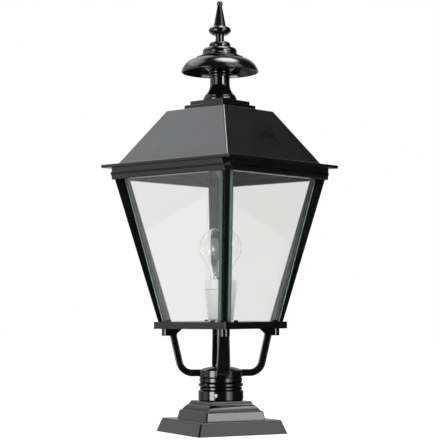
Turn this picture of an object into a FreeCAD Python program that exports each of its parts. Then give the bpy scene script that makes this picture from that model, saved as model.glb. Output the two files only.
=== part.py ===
import FreeCAD, Part
import math
import os

from FreeCAD import Vector

# A square post top lantern on a square plinth, in millimetres, +Z up.
# The origin is the centre of the plinth's underside. The head's glass faces are square to X and Y,
# its corners and arms are on the diagonals, and the plinth stands turned under it.
SQRT2 = math.sqrt(2.0)

# Plinth: a hollow square casting of three tiers
PLINTH_TURN = -21.6
FOOT_SIDE_LOW = 144.4
FOOT_SIDE_HIGH = 130.8
FOOT_H = 20.1
FOOT_EDGE_R = 3.2
STEP_SIDE_LOW = 97.2
STEP_SIDE_HIGH = 92.4
STEP_H = 12.7
STEP_EDGE_R = 2.4
OGEE_SIDE_LOW = 86.2
OGEE_SIDE_MIDDLE = 75.6
OGEE_SIDE_HIGH = 66.0
OGEE_LOW_H = 6.7
OGEE_HIGH_H = 6.9
OGEE_BELLY = 0.3
OGEE_HOLLOW = 0.9
LEDGE_T = 5.0
PLINTH_WALL = 5.0
FIXING_CIRCLE_R = 80.0
FIXING_HOLE_R = 3.25
FIXING_BOSS_R = 7.0

# Spigot: the tube that the head's sleeve drops over, held by a square plate inside the plinth
SPIGOT_R = 29.9
SPIGOT_WALL = 3.0
SPIGOT_SEAT_L = 18.3
SPIGOT_RISE = 10.7
SPIGOT_PLATE_SIDE = 76.0
SPIGOT_PLATE_T = 4.0
SPIGOT_SCREW_OFFSET = 27.0
SPIGOT_SCREW_R = 2.0
SPIGOT_SCREW_L = 14.0
SPIGOT_SCREW_HEAD_R = 3.6
SPIGOT_SCREW_HEAD_H = 2.4

# Terminal block and earth stud under the plinth's ledge
TERMINAL_L = 36.0
TERMINAL_W = 15.0
TERMINAL_H = 11.0
TERMINAL_WAYS = 3
TERMINAL_WAY_R = 2.2
LEDGE_FITTING_OFFSET = 50.5
EARTH_STUD_R = 2.5
EARTH_STUD_L = 11.0
EARTH_NUT_FLATS = 8.0
EARTH_NUT_H = 4.0

# Turned stack over the plinth: sleeve, slim ring, collar and hub on one stem tube
BEARING_GAP = 0.1
RUNNING_GAP = 0.1
SLEEVE_R = 33.3
SLEEVE_H = 15.5
SLEEVE_BEVEL = 1.2
SLEEVE_FOOT_BEVEL = 1.8
GROOVE_R = 29.9
SLEEVE_NECK_H = 0.6
SLEEVE_CEILING_T = 3.0
SLIM_RING_R = 31.4
SLIM_RING_H = 2.2
SLIM_GROOVE_H = 0.8
COLLAR_R = 33.0
COLLAR_BAND_H = 5.0
COLLAR_GROOVE_H = 1.0
COLLAR_BEVEL = 1.3
STEM_R = 25.0
STEM_WALL = 4.0
STEM_FLANGE_R = 29.5
STEM_FLANGE_T = 2.0
STEM_THREAD_L = 8.2
LOCK_BAND_R = 31.6
LOCK_BAND_H = 5.0
LOCK_GROOVE_H = 1.0
HUB_GROOVE_H = 2.3
HUB_R = 32.1
HUB_BAND_H = 9.3
HUB_POCKET_FLOOR = 0.55
HUB_DOME_H = 5.1
HUB_DOME_R = 14.0
HUB_CHAMBER_HALF = 19.0
GRUB_R = 2.45
GRUB_SOCKET_FLATS = 2.5
GRUB_SOCKET_DEPTH = 1.6
GRUB_RECESS = 0.9
GRUB_SINK_R = 3.3
GRUB_COUNT = 3
GRUB_FIRST_ANGLE = -62.0
GRUB_Z_IN_SLEEVE = 8.6
LOCK_GRUB_ANGLE = -98.0
LOCK_GRUB_R = 1.9
THREAD_GAP = 0.05

# Bottom frame and its floor plate
FRAME_SIDE = 140.0
FRAME_H = 10.2
FRAME_RIM_W = 12.0
FRAME_FLANGE_W = 10.0
FRAME_FLANGE_T = 3.0
FRAME_WEB_DIAGONAL = 70.0
FRAME_CORNER_R = 1.6
FLOOR_T = 2.0
FLOOR_GAP = 0.3

# Panes and corner posts, whose sizes run straight between the bottom and the top frame
CAGE_H = 209.9
GLASS_T = 4.0
GLASS_INSET = 4.0
GLASS_LOW = FRAME_SIDE / 2 - GLASS_INSET
GLASS_HIGH = 105.8
GLASS_FOOT_GAP = 0.2
GLASS_RISE_IN_FASCIA = 10.0
GLASS_SIDE_GAP = 1.6
GLASS_SEAL = 0.2
POST_FOOT_INSET = 7.0
POST_TIP_LOW = FRAME_SIDE / SQRT2 - POST_FOOT_INSET
POST_HALF_LOW = 2.9
POST_HALF_HIGH = 3.7
POST_LEG_T = 2.5
POST_LEG_LAP = 5.0
POST_TENON_H = 13.4
POST_SCREW_R = 1.5
POST_SCREW_INSET = 4.4
POST_SCREW_RADIUS = POST_TIP_LOW - POST_SCREW_INSET
POST_SCREW_DEPTH = 12.0
POST_SCREW_HEAD_R = 2.7
POST_SCREW_HEAD_H = 2.0
CLIP_L = 7.5
CLIP_H = 2.6
CLIP_T = 1.3
CLIP_INSET = 12.0

# Arms: four flat bars that leave the hub level, turn up and carry the bottom frame
ARM_T = 9.8
ARM_W_LOW = 19.5
ARM_W_HIGH = 16.0
ARM_ROOT_R = 30.2
ARM_BEND_R = 19.0
ARM_KNEE_R = 57.3
ARM_TOP_R = 69.7
ARM_RISE = 54.4
ARM_EDGE_R = 1.6
ARM_POCKET_GAP = 0.15
PAD_H = 10.2
PAD_END_R = 8.0
PAD_END_INSET = 8.8
PAD_END_CENTRE_R = POST_SCREW_RADIUS - PAD_END_INSET
PAD_TAIL_R = 57.0
PAD_TAIL_H = 7.3
ARM_SCREW_R = 3.0
ARM_SCREW_L = 22.0
ARM_SCREW_HEAD_R = 4.6
ARM_SCREW_HEAD_H = 3.6
ARM_BOLT_R = 2.5
ARM_BOLT_INSET = 0.8
ARM_BOLT_RADIUS = PAD_END_CENTRE_R - ARM_BOLT_INSET
ARM_BOLT_DEPTH = 8.0
ARM_BOLT_HEAD_R = 4.2
ARM_BOLT_HEAD_H = 5.0

# Top frame (fascia): two mouldings with a groove, each corner cut flat and held by one screw
FASCIA_OUT = 8.8
FASCIA_BEVEL_W = 2.0
FASCIA_LOWER_LEAN = 1.0
FASCIA_GROOVE_DEPTH = 1.7
FASCIA_UPPER_W = 2.5
FASCIA_UPPER_LEAN = 1.4
FASCIA_LOW_HALF = GLASS_HIGH + FASCIA_OUT
FASCIA_LOWER_HALF = FASCIA_LOW_HALF + FASCIA_BEVEL_W
FASCIA_LOWER_TOP_HALF = FASCIA_LOWER_HALF + FASCIA_LOWER_LEAN
FASCIA_GROOVE_HALF = FASCIA_LOWER_TOP_HALF - FASCIA_GROOVE_DEPTH
FASCIA_UPPER_HALF = FASCIA_GROOVE_HALF + FASCIA_UPPER_W
FASCIA_TOP_HALF = FASCIA_UPPER_HALF + FASCIA_UPPER_LEAN
FASCIA_BEVEL_H = 1.4
FASCIA_LOWER_H = 5.3
FASCIA_STEP_H = 0.7
FASCIA_GROOVE_H = 1.1
FASCIA_UPPER_H = 7.7
FASCIA_CORNER_CUT = 9.0
FASCIA_CORNER_R = FASCIA_TOP_HALF * SQRT2 - FASCIA_CORNER_CUT
FASCIA_CORNER_WALL = 5.4
POST_NOSE_INSET = 4.7
POST_TIP_HIGH = FASCIA_CORNER_R - POST_NOSE_INSET
POST_TENON_GAP = 0.8
POST_TENON_TIP_R = FASCIA_CORNER_R - FASCIA_CORNER_WALL - POST_TENON_GAP
FASCIA_LIP_T = 3.0
FASCIA_LIP_GAP = 0.3
FASCIA_THROAT_GAP = 0.6
FASCIA_NOTCH_GAP = 0.3
CORNER_SCREW_R = 2.0
CORNER_SCREW_HEAD_R = 3.0
CORNER_SCREW_HEAD_H = 1.6
CORNER_SCREW_L = 16.0

# Strap under the roof and the tie rod that holds the roof, neck, hood and finial down on it
STRAP_W = 14.0
STRAP_T = 3.0
STRAP_END_INSET = 2.2
STRAP_END_R = POST_TENON_TIP_R - STRAP_END_INSET
STRAP_SIDE_GAP = 0.4
STRAP_SCREW_INSET = 3.6
STRAP_SCREW_RADIUS = STRAP_END_R - STRAP_SCREW_INSET
STRAP_SCREW_R = 1.5
STRAP_SCREW_L = 4.8
STRAP_SCREW_HEAD_R = 2.8
STRAP_SCREW_HEAD_H = 1.4
ROD_R = 3.0
ROD_HOLE_GAP = 0.4
ROD_TAIL = 7.0
ROD_END_IN_FINIAL = 19.6
ROD_NUT_FLATS = 10.0
ROD_NUT_H = 3.0

# Roof: eaves plate, four-sided shell and two square caps
EAVES_OVERHANG = 5.2
EAVES_HALF = FASCIA_TOP_HALF + EAVES_OVERHANG
EAVES_T = 4.9
EAVES_LAP = 5.8
EAVES_OPENING_HALF = GLASS_HIGH - EAVES_LAP
EAVES_EDGE_R = 1.6
SKIRT_T = 3.0
SKIRT_H = 4.4
SKIRT_HALF_L = 80.0
SKIRT_GAP = 0.5
ROOF_SETBACK = 17.0
ROOF_LOW_HALF = EAVES_HALF - ROOF_SETBACK
ROOF_HIGH_HALF = 56.3
ROOF_H = 80.3
ROOF_WALL = 3.0
ROOF_RIDGE_R = 2.6
CAP_LOW_HALF = 37.6
CAP_LOW_H = 8.3
CAP_HIGH_HALF = 31.5
CAP_HIGH_H = 6.2
CAP_EDGE_R = 0.9

# Neck: a turned pillar from a ringed foot to a cup inside the hood
NECK_FOOT_R = 24.0
NECK_FOOT_H = 6.2
NECK_RING_R = 22.9
NECK_RING_H = 3.4
NECK_RING_BULGE = 0.7
NECK_FLARE_FOOT_R = 21.4
NECK_FLARE_H = 14.6
NECK_FLARE_SAG = 1.25
NECK_R = 14.6
NECK_PLAIN_H = 12.7
NECK_BEAD_H = 4.4
NECK_BEAD_BULGE = 1.9
NECK_CUP_R = 24.0
NECK_CUP_H = 6.8
NECK_CUP_SAG = 1.5
NECK_CUP_LIP_H = 2.4
NECK_TOP_R = 18.0
NECK_TOP_H = 12.3

# Hood: a thin dome with a ledge, then a drum and a cap
HOOD_R = 57.4
HOOD_RIM_BELOW_SEAT = 24.0
HOOD_T = 2.3
HOOD_DOME_H = 20.7
HOOD_LEDGE_R = 35.4
HOOD_DOME_SAG = 4.7
HOOD_LEDGE_H = 2.4
HOOD_LEDGE_LEAN = 0.6
HOOD_CROWN_H = 2.9
DRUM_FOOT_R = 27.0
DRUM_FOOT_H = 1.2
DRUM_R = 25.4
DRUM_H = 11.1
DRUM_ROUND_R = 5.8
DRUM_COVE_H = 2.0
HAT_FOOT_R = 15.0
HAT_FOOT_H = 1.2
HAT_R = 16.0
HAT_H = 8.9
HAT_ROUND_R = 5.2

# Finial: stem, disc, cone and ball in one turned piece
FINIAL_STEM_R = 6.4
FINIAL_STEM_H = 10.6
FINIAL_DISC_STEP_R = 11.0
FINIAL_DISC_R = 16.7
FINIAL_DISC_LOW_H = 1.4
FINIAL_DISC_H = 11.7
FINIAL_DISC_LOW_SAG = 0.9
FINIAL_DISC_HIGH_SAG = 1.7
FINIAL_SHOULDER_R = 10.8
FINIAL_SHOULDER_H = 1.2
FINIAL_CONE_LOW_R = 9.2
FINIAL_CONE_HIGH_R = 3.5
FINIAL_CONE_H = 31.0
FINIAL_BALL_R = 4.5

# Lampholder on the floor plate, on the threaded tube that rises from the hub
TUBE_R = 5.0
TUBE_WALL = 1.2
TUBE_NUT_FLATS = 14.0
TUBE_NUT_H = 3.0
HOLDER_BASE_R = 16.0
HOLDER_BASE_T = 2.6
HOLDER_BASE_NECK_R = 10.0
HOLDER_BASE_H = 8.1
HOLDER_FOOT_R = 17.6
HOLDER_BODY_R = 22.1
HOLDER_BODY_H = 44.2
HOLDER_FLOOR_T = 4.0
HOLDER_SEAM = 0.2
HOLDER_RING_R = 22.6
HOLDER_RING_H = 14.9
HOLDER_RING_MOUTH_R = 15.6
HOLDER_ROUND_R = 1.4
SHELL_R = 13.4
SHELL_WALL = 0.8
SHELL_L = 27.0
CONTACT_BLOCK_H = 5.0
CONTACT_BLOCK_Z = 22.6
CONTACT_R = 4.2
CONTACT_H = 2.8

# Bulb: a pear-shaped clear lamp with a screw cap
BULB_GAP = 0.1
BULB_R = 30.0
BULB_WALL = 0.8
BULB_CAP_R = 13.15
BULB_CAP_L = 23.0
BULB_TIP_R = 4.8
BULB_TIP_H = 1.0
BULB_INSULATOR_R = 10.0
BULB_INSULATOR_H = 2.6
BULB_NECK_R = 13.9
BULB_NECK_H = 9.5
BULB_BELLY_ANGLE = 36.0
BULB_SHOULDER_SAG = 1.7
BULB_GLASS_H = 79.4
BULB_STEM_FOOT_R = 8.0
BULB_STEM_FOOT_H = 12.0
BULB_STEM_R = 2.4
BULB_STEM_H = 30.0
LEAD_R = 0.4
LEAD_SPREAD = 11.0
LEAD_RISE = 17.0
FILAMENT_R = 0.3

# Heights that follow from the sizes above
Z_LEDGE = FOOT_H
Z_STEP_TOP = Z_LEDGE + STEP_H
Z_OGEE_MIDDLE = Z_STEP_TOP + OGEE_LOW_H
Z_PLINTH_TOP = Z_OGEE_MIDDLE + OGEE_HIGH_H
Z_CHAMBER_TOP = Z_PLINTH_TOP - SPIGOT_SEAT_L
Z_SLEEVE = Z_PLINTH_TOP + BEARING_GAP
Z_SLIM_RING = Z_SLEEVE + SLEEVE_H + SLEEVE_NECK_H
Z_COLLAR = Z_SLIM_RING + 2 * SLIM_GROOVE_H + SLIM_RING_H
Z_HUB = Z_COLLAR + 2 * COLLAR_GROOVE_H + COLLAR_BAND_H
Z_HUB_BAND = Z_HUB + LOCK_GROOVE_H + LOCK_BAND_H + HUB_GROOVE_H
Z_HUB_SHOULDER = Z_HUB_BAND + HUB_BAND_H
Z_HUB_TOP = Z_HUB_SHOULDER + HUB_DOME_H
Z_HUB_THREAD_TOP = Z_HUB + STEM_THREAD_L
Z_ARM = Z_HUB_BAND + HUB_POCKET_FLOOR + ARM_POCKET_GAP + ARM_T / 2
Z_HUB_CHAMBER_TOP = Z_ARM + ARM_SCREW_HEAD_R + ARM_POCKET_GAP
Z_PAD = Z_ARM + ARM_RISE
Z_FRAME = Z_PAD + PAD_H
Z_FLOOR = Z_FRAME + FRAME_FLANGE_T
Z_HOLDER_BASE = Z_FLOOR + FLOOR_T
Z_CAGE = Z_FRAME + FRAME_H
Z_FASCIA = Z_CAGE + CAGE_H
Z_FASCIA_GROOVE = Z_FASCIA + FASCIA_BEVEL_H + FASCIA_LOWER_H + FASCIA_STEP_H
Z_FASCIA_UPPER = Z_FASCIA_GROOVE + FASCIA_GROOVE_H + FASCIA_STEP_H
Z_EAVES = Z_FASCIA_UPPER + FASCIA_UPPER_H
Z_CORNER_SCREW = Z_FASCIA + (Z_EAVES - Z_FASCIA) / 2
Z_STRAP = Z_FASCIA + POST_TENON_H
Z_ROOF = Z_EAVES + EAVES_T
Z_CAP_LOW = Z_ROOF + ROOF_H
Z_CAP_HIGH = Z_CAP_LOW + CAP_LOW_H
Z_NECK = Z_CAP_HIGH + CAP_HIGH_H
Z_NECK_RING = Z_NECK + NECK_FOOT_H
Z_NECK_FLARE = Z_NECK_RING + NECK_RING_H
Z_NECK_PLAIN = Z_NECK_FLARE + NECK_FLARE_H
Z_NECK_BEADS = Z_NECK_PLAIN + NECK_PLAIN_H
Z_NECK_CUP = Z_NECK_BEADS + 2 * NECK_BEAD_H
Z_NECK_LIP = Z_NECK_CUP + NECK_CUP_H + NECK_CUP_LIP_H
Z_HOOD_SEAT = Z_NECK_LIP + NECK_TOP_H
Z_HOOD_RIM = Z_HOOD_SEAT - HOOD_RIM_BELOW_SEAT
Z_HOOD_LEDGE = Z_HOOD_RIM + HOOD_DOME_H
Z_DRUM = Z_HOOD_LEDGE + HOOD_LEDGE_H + HOOD_CROWN_H
Z_HAT = Z_DRUM + DRUM_H
Z_FINIAL = Z_HAT + HAT_H + BEARING_GAP
Z_HOLDER = Z_HOLDER_BASE + HOLDER_BASE_H
Z_HOLDER_RING = Z_HOLDER + HOLDER_BODY_H + HOLDER_SEAM
Z_CONTACT_BLOCK = Z_HOLDER + CONTACT_BLOCK_Z
Z_CONTACT = Z_CONTACT_BLOCK + CONTACT_BLOCK_H
Z_BULB_TIP = Z_CONTACT + CONTACT_H + BULB_GAP
Z_BULB_CAP = Z_BULB_TIP + BULB_TIP_H + BULB_INSULATOR_H
Z_BULB_GLASS = Z_BULB_CAP + BULB_CAP_L

CORNERS = 4
CORNER_TURN = 360.0 / CORNERS
CORNER_FIRST_ANGLE = -45.0
Z_AXIS = Vector(0, 0, 1)
CENTRE = Vector(0, 0, 0)
FAR = 400.0


# Shapes that the sub-parts share

def turned_piece(start, *steps):
    """A solid of revolution about Z. A step is a point (radius, z) or an arc's (middle, end)."""
    return face_from([start] + list(steps)).revolve(CENTRE, Z_AXIS, 360)


def face_from(points):
    """A face in the XZ plane from points and arcs, closed back to the first point."""
    edges = []
    here = points[0]
    for step in points[1:]:
        if isinstance(step[0], tuple):
            middle, end = step
            edges.append(Part.Arc(flat(here), flat(middle), flat(end)).toShape())
        else:
            end = step
            edges.append(Part.makeLine(flat(here), flat(end)))
        here = end
    if here != points[0]:
        edges.append(Part.makeLine(flat(here), flat(points[0])))
    return Part.Face(Part.Wire(edges))


def flat(point):
    """The point (radius, z) in the XZ plane."""
    return Vector(point[0], 0, point[1])


def bulged(start, end, bulge):
    """An arc's (middle, end) from start to end, its middle pushed sideways by bulge to the right."""
    run_r = end[0] - start[0]
    run_z = end[1] - start[1]
    length = math.hypot(run_r, run_z)
    middle_r = (start[0] + end[0]) / 2 + bulge * run_z / length
    middle_z = (start[1] + end[1]) / 2 - bulge * run_r / length
    return (middle_r, middle_z), end


def square_outline(half, z, corner_reach=None):
    """A square's corners at height z, cut flat where a diagonal would pass corner_reach."""
    points = []
    for quarter in range(4):
        turn = math.radians(90 * quarter)
        if corner_reach is None:
            corners = [(half, half)]
        else:
            short = corner_reach * SQRT2 - half
            corners = [(half, short), (short, half)]
        for x, y in corners:
            turned_x = x * math.cos(turn) - y * math.sin(turn)
            turned_y = x * math.sin(turn) + y * math.cos(turn)
            points.append(Vector(turned_x, turned_y, z))
    return points


def lofted(low_points, high_points):
    """A solid with straight sides between two outlines of as many points."""
    low = Part.makePolygon(low_points + low_points[:1])
    high = Part.makePolygon(high_points + high_points[:1])
    return Part.makeLoft([low, high], True, True)


def square_tier(low_half, high_half, z_low, z_high, low_reach=None, high_reach=None):
    """A square block that tapers from low_half at z_low to high_half at z_high."""
    low = square_outline(low_half, z_low, low_reach)
    high = square_outline(high_half, z_high, high_reach)
    return lofted(low, high)


def block(x_low, x_high, y_low, y_high, z_low, z_high):
    """A box between these limits."""
    corner = Vector(x_low, y_low, z_low)
    return Part.makeBox(x_high - x_low, y_high - y_low, z_high - z_low, corner)


def upright(radius, z_low, z_high, x=0.0, y=0.0):
    """An upright cylinder."""
    return Part.makeCylinder(radius, z_high - z_low, Vector(x, y, z_low))


def outward(radius, r_low, r_high, z):
    """A cylinder along +X, from r_low to r_high."""
    return Part.makeCylinder(radius, r_high - r_low, Vector(r_low, 0, z), Vector(1, 0, 0))


def hexagon(flats, z_low, z_high):
    """A hexagonal prism about Z, measured across its flats."""
    reach = flats / math.sqrt(3.0)
    points = []
    for side in range(6):
        angle = math.radians(60 * side)
        points.append(Vector(reach * math.cos(angle), reach * math.sin(angle), z_low))
    face = Part.Face(Part.makePolygon(points + points[:1]))
    return face.extrude(Vector(0, 0, z_high - z_low))


def about_axis(shape, angle):
    """A copy of the shape turned about Z."""
    copy = shape.copy()
    copy.rotate(CENTRE, Z_AXIS, angle)
    return copy


def at_corner(shape, index):
    """A piece modelled along +X, turned to one of the head's corners."""
    return about_axis(shape, CORNER_FIRST_ANGLE + CORNER_TURN * index)


def at_all_corners(shape):
    """Copies of a piece modelled along +X, at every corner."""
    return [at_corner(shape, index) for index in range(CORNERS)]


def round_edges(shape, radius, wanted):
    """The shape with its edges that satisfy wanted rounded off."""
    edges = [edge for edge in shape.Edges if wanted(edge)]
    return shape.makeFillet(radius, edges)


def ends_of(edge):
    """The first and last point of an edge."""
    return edge.Vertexes[0].Point, edge.Vertexes[-1].Point


def level_at(edge, z):
    """Whether the edge lies in the plane at height z."""
    start, end = ends_of(edge)
    return abs(start.z - z) < 0.01 and abs(end.z - z) < 0.01


def climbs(edge, z_low, z_high):
    """Whether the edge runs from height z_low to height z_high."""
    start, end = ends_of(edge)
    lower = min(start.z, end.z)
    upper = max(start.z, end.z)
    return abs(lower - z_low) < 0.01 and abs(upper - z_high) < 0.01


def along_cage(low, high, z):
    """A size that runs straight from low at the cage's foot to high under the fascia."""
    return low + (high - low) * (z - Z_CAGE) / CAGE_H


def glass_lean():
    """How far the panes lean out of the upright, in radians."""
    return math.atan((GLASS_HIGH - GLASS_LOW) / CAGE_H)


def glass_distance(z):
    """The distance of a pane's outer face from the axis."""
    return along_cage(GLASS_LOW, GLASS_HIGH, z)


def save(name, shape):
    """One STEP file for a node, from a solid or a list of solids."""
    if isinstance(shape, list):
        shape = Part.makeCompound(shape)
    shape.exportStep("parts/" + name + ".step")


# Plinth and what it holds

def plinth_ogee():
    """The plinth's top tier: four mitred sides that swell at the foot and hollow towards the top."""
    low = (OGEE_SIDE_LOW / 2, Z_STEP_TOP)
    waist = (OGEE_SIDE_MIDDLE / 2, Z_OGEE_MIDDLE)
    high = (OGEE_SIDE_HIGH / 2, Z_PLINTH_TOP)
    belly = bulged(low, waist, OGEE_BELLY)
    hollow = bulged(waist, high, -OGEE_HOLLOW)
    face = face_from([(0, Z_STEP_TOP), low, belly, hollow, (0, Z_PLINTH_TOP)])
    face.translate(Vector(0, -low[0], 0))
    mitre = Part.Face(Part.makePolygon([CENTRE, Vector(FAR, -FAR, 0), Vector(FAR, FAR, 0), CENTRE]))
    side = face.extrude(Vector(0, 2 * low[0], 0)).common(mitre.extrude(Vector(0, 0, FAR)))
    tier = side
    for index in (1, 2, 3):
        tier = tier.fuse(about_axis(side, index * 90.0))
    return tier.removeSplitter()


def plinth():
    """The hollow plinth, with its spigot seat, fixing bosses and holes."""
    foot = square_tier(FOOT_SIDE_LOW / 2, FOOT_SIDE_HIGH / 2, 0, Z_LEDGE)
    foot = round_edges(foot, FOOT_EDGE_R, lambda edge: not level_at(edge, 0))
    step = square_tier(STEP_SIDE_LOW / 2, STEP_SIDE_HIGH / 2, Z_LEDGE, Z_STEP_TOP)
    step = round_edges(step, STEP_EDGE_R, lambda edge: not level_at(edge, Z_LEDGE))
    body = foot.fuse(step).fuse(plinth_ogee())
    room_low = FOOT_SIDE_LOW / 2 - PLINTH_WALL
    room_high = FOOT_SIDE_HIGH / 2 - PLINTH_WALL
    body = body.cut(square_tier(room_low, room_high, 0, Z_LEDGE - LEDGE_T))
    chamber = STEP_SIDE_HIGH / 2 - PLINTH_WALL
    body = body.cut(square_tier(chamber, chamber, Z_LEDGE - LEDGE_T, Z_CHAMBER_TOP))
    body = body.cut(upright(SPIGOT_R, Z_CHAMBER_TOP, Z_PLINTH_TOP))
    for x, y in corner_places(FIXING_CIRCLE_R / SQRT2):
        body = body.fuse(upright(FIXING_BOSS_R, 0, Z_LEDGE - LEDGE_T, x, y))
    for x, y in corner_places(FIXING_CIRCLE_R / SQRT2):
        body = body.cut(upright(FIXING_HOLE_R, 0, Z_LEDGE, x, y))
    for x, y in corner_places(SPIGOT_SCREW_OFFSET):
        depth = SPIGOT_SCREW_L - SPIGOT_PLATE_T + THREAD_GAP
        hole = upright(SPIGOT_SCREW_R + THREAD_GAP, Z_CHAMBER_TOP, Z_CHAMBER_TOP + depth, x, y)
        body = body.cut(hole)
    return body.removeSplitter()


def corner_places(offset):
    """The four places (x, y) at this offset along both axes."""
    return [(x, y) for x in (-offset, offset) for y in (-offset, offset)]


def spigot():
    """The upright tube and the square plate that holds it against the chamber's top."""
    z_plate = Z_CHAMBER_TOP - SPIGOT_PLATE_T
    half = SPIGOT_PLATE_SIDE / 2
    piece = block(-half, half, -half, half, z_plate, Z_CHAMBER_TOP)
    piece = piece.fuse(upright(SPIGOT_R, z_plate, Z_PLINTH_TOP + SPIGOT_RISE))
    piece = piece.cut(upright(SPIGOT_R - SPIGOT_WALL, z_plate, Z_PLINTH_TOP + SPIGOT_RISE))
    for x, y in corner_places(SPIGOT_SCREW_OFFSET):
        piece = piece.cut(upright(SPIGOT_SCREW_R + THREAD_GAP, z_plate, Z_CHAMBER_TOP, x, y))
    return piece


def spigot_screws():
    """Four screws that hold the spigot's plate up against the plinth."""
    z_plate = Z_CHAMBER_TOP - SPIGOT_PLATE_T
    screws = []
    for x, y in corner_places(SPIGOT_SCREW_OFFSET):
        shank = upright(SPIGOT_SCREW_R, z_plate, z_plate + SPIGOT_SCREW_L, x, y)
        head = upright(SPIGOT_SCREW_HEAD_R, z_plate - SPIGOT_SCREW_HEAD_H, z_plate, x, y)
        screws.append(head.fuse(shank))
    return screws


def terminal_block():
    """A three-way terminal block that hangs under the ledge."""
    z_top = Z_LEDGE - LEDGE_T
    y_low = LEDGE_FITTING_OFFSET - TERMINAL_W / 2
    y_high = LEDGE_FITTING_OFFSET + TERMINAL_W / 2
    body = block(-TERMINAL_L / 2, TERMINAL_L / 2, y_low, y_high, z_top - TERMINAL_H, z_top)
    pitch = TERMINAL_L / TERMINAL_WAYS
    for way in range(TERMINAL_WAYS):
        x = (way + 0.5) * pitch - TERMINAL_L / 2
        place = Vector(x, y_low, z_top - TERMINAL_H / 2)
        body = body.cut(Part.makeCylinder(TERMINAL_WAY_R, TERMINAL_W, place, Vector(0, 1, 0)))
    return body


def earth_stud():
    """The earth stud under the ledge."""
    z_top = Z_LEDGE - LEDGE_T
    return upright(EARTH_STUD_R, z_top - EARTH_STUD_L, z_top, 0, -LEDGE_FITTING_OFFSET)


def earth_nut():
    """The nut on the earth stud."""
    z_top = Z_LEDGE - LEDGE_T
    nut = hexagon(EARTH_NUT_FLATS, z_top - EARTH_NUT_H, z_top)
    nut = nut.cut(upright(EARTH_STUD_R + THREAD_GAP, z_top - EARTH_NUT_H, z_top))
    nut.translate(Vector(0, -LEDGE_FITTING_OFFSET, 0))
    return nut


# Turned stack

def grub_hole(thread_r, outer_r, z, angle):
    """A threaded hole through a turned wall, opened out at its mouth."""
    hole = outward(thread_r + THREAD_GAP, STEM_R - STEM_WALL, outer_r + 1, z)
    mouth_low = Vector(outer_r - GRUB_RECESS, 0, z)
    sink_depth = GRUB_RECESS + 1
    slope = (GRUB_SINK_R - GRUB_R) / GRUB_RECESS
    mouth = Part.makeCone(thread_r, thread_r + slope * sink_depth, sink_depth, mouth_low, Vector(1, 0, 0))
    return about_axis(hole.fuse(mouth), angle)


def grub_screw(thread_r, tip_r, outer_r, z, angle):
    """A socket grub screw in such a hole."""
    end = outer_r - GRUB_RECESS
    screw = outward(thread_r, tip_r, end, z)
    socket = hexagon(GRUB_SOCKET_FLATS, 0, GRUB_SOCKET_DEPTH)
    socket.rotate(CENTRE, Vector(0, 1, 0), 90)
    socket.translate(Vector(end - GRUB_SOCKET_DEPTH, 0, z))
    return about_axis(screw.cut(socket), angle)


def sleeve():
    """The cup that turns on the spigot."""
    bore = SPIGOT_R + RUNNING_GAP
    z_shoulder = Z_SLEEVE + SLEEVE_H
    ceiling = Z_SLIM_RING - SLEEVE_CEILING_T
    stem_bore = STEM_R + THREAD_GAP
    cup = turned_piece(
        (bore, Z_SLEEVE),
        (SLEEVE_R - SLEEVE_FOOT_BEVEL, Z_SLEEVE),
        (SLEEVE_R, Z_SLEEVE + SLEEVE_FOOT_BEVEL),
        (SLEEVE_R, z_shoulder - SLEEVE_BEVEL),
        (SLEEVE_R - SLEEVE_BEVEL, z_shoulder),
        (GROOVE_R, Z_SLIM_RING),
        (stem_bore, Z_SLIM_RING),
        (stem_bore, ceiling),
        (bore, ceiling),
    )
    for index in range(GRUB_COUNT):
        angle = GRUB_FIRST_ANGLE + index * 360.0 / GRUB_COUNT
        cup = cup.cut(grub_hole(GRUB_R, SLEEVE_R, Z_SLEEVE + GRUB_Z_IN_SLEEVE, angle))
    return cup


def sleeve_grubs():
    """The grub screws that lock the sleeve on the spigot."""
    screws = []
    for index in range(GRUB_COUNT):
        angle = GRUB_FIRST_ANGLE + index * 360.0 / GRUB_COUNT
        tip = SPIGOT_R + RUNNING_GAP
        screws.append(grub_screw(GRUB_R, tip, SLEEVE_R, Z_SLEEVE + GRUB_Z_IN_SLEEVE, angle))
    return screws


def slim_ring():
    """The slim ring above the sleeve."""
    bore = STEM_R + THREAD_GAP
    z_low = Z_SLIM_RING + SLIM_GROOVE_H
    z_high = z_low + SLIM_RING_H
    return turned_piece(
        (bore, Z_SLIM_RING),
        (GROOVE_R, Z_SLIM_RING),
        (SLIM_RING_R, z_low),
        (SLIM_RING_R, z_high),
        (GROOVE_R, Z_COLLAR),
        (bore, Z_COLLAR),
    )


def collar():
    """The beaded collar between the slim ring and the hub."""
    bore = STEM_R + THREAD_GAP
    z_low = Z_COLLAR + COLLAR_GROOVE_H
    z_high = z_low + COLLAR_BAND_H
    return turned_piece(
        (bore, Z_COLLAR),
        (GROOVE_R, Z_COLLAR),
        (COLLAR_R - COLLAR_BEVEL, z_low),
        (COLLAR_R, z_low + COLLAR_BEVEL),
        (COLLAR_R, z_high - COLLAR_BEVEL),
        (COLLAR_R - COLLAR_BEVEL, z_high),
        (GROOVE_R, Z_HUB),
        (bore, Z_HUB),
    )


def stem_tube():
    """The flanged tube that clamps sleeve, ring and collar up against the hub."""
    z_flange = Z_SLIM_RING - SLEEVE_CEILING_T
    bore = STEM_R - STEM_WALL
    return turned_piece(
        (bore, z_flange - STEM_FLANGE_T),
        (STEM_FLANGE_R, z_flange - STEM_FLANGE_T),
        (STEM_FLANGE_R, z_flange),
        (STEM_R, z_flange),
        (STEM_R, Z_HUB_THREAD_TOP),
        (bore, Z_HUB_THREAD_TOP),
    )


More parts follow.
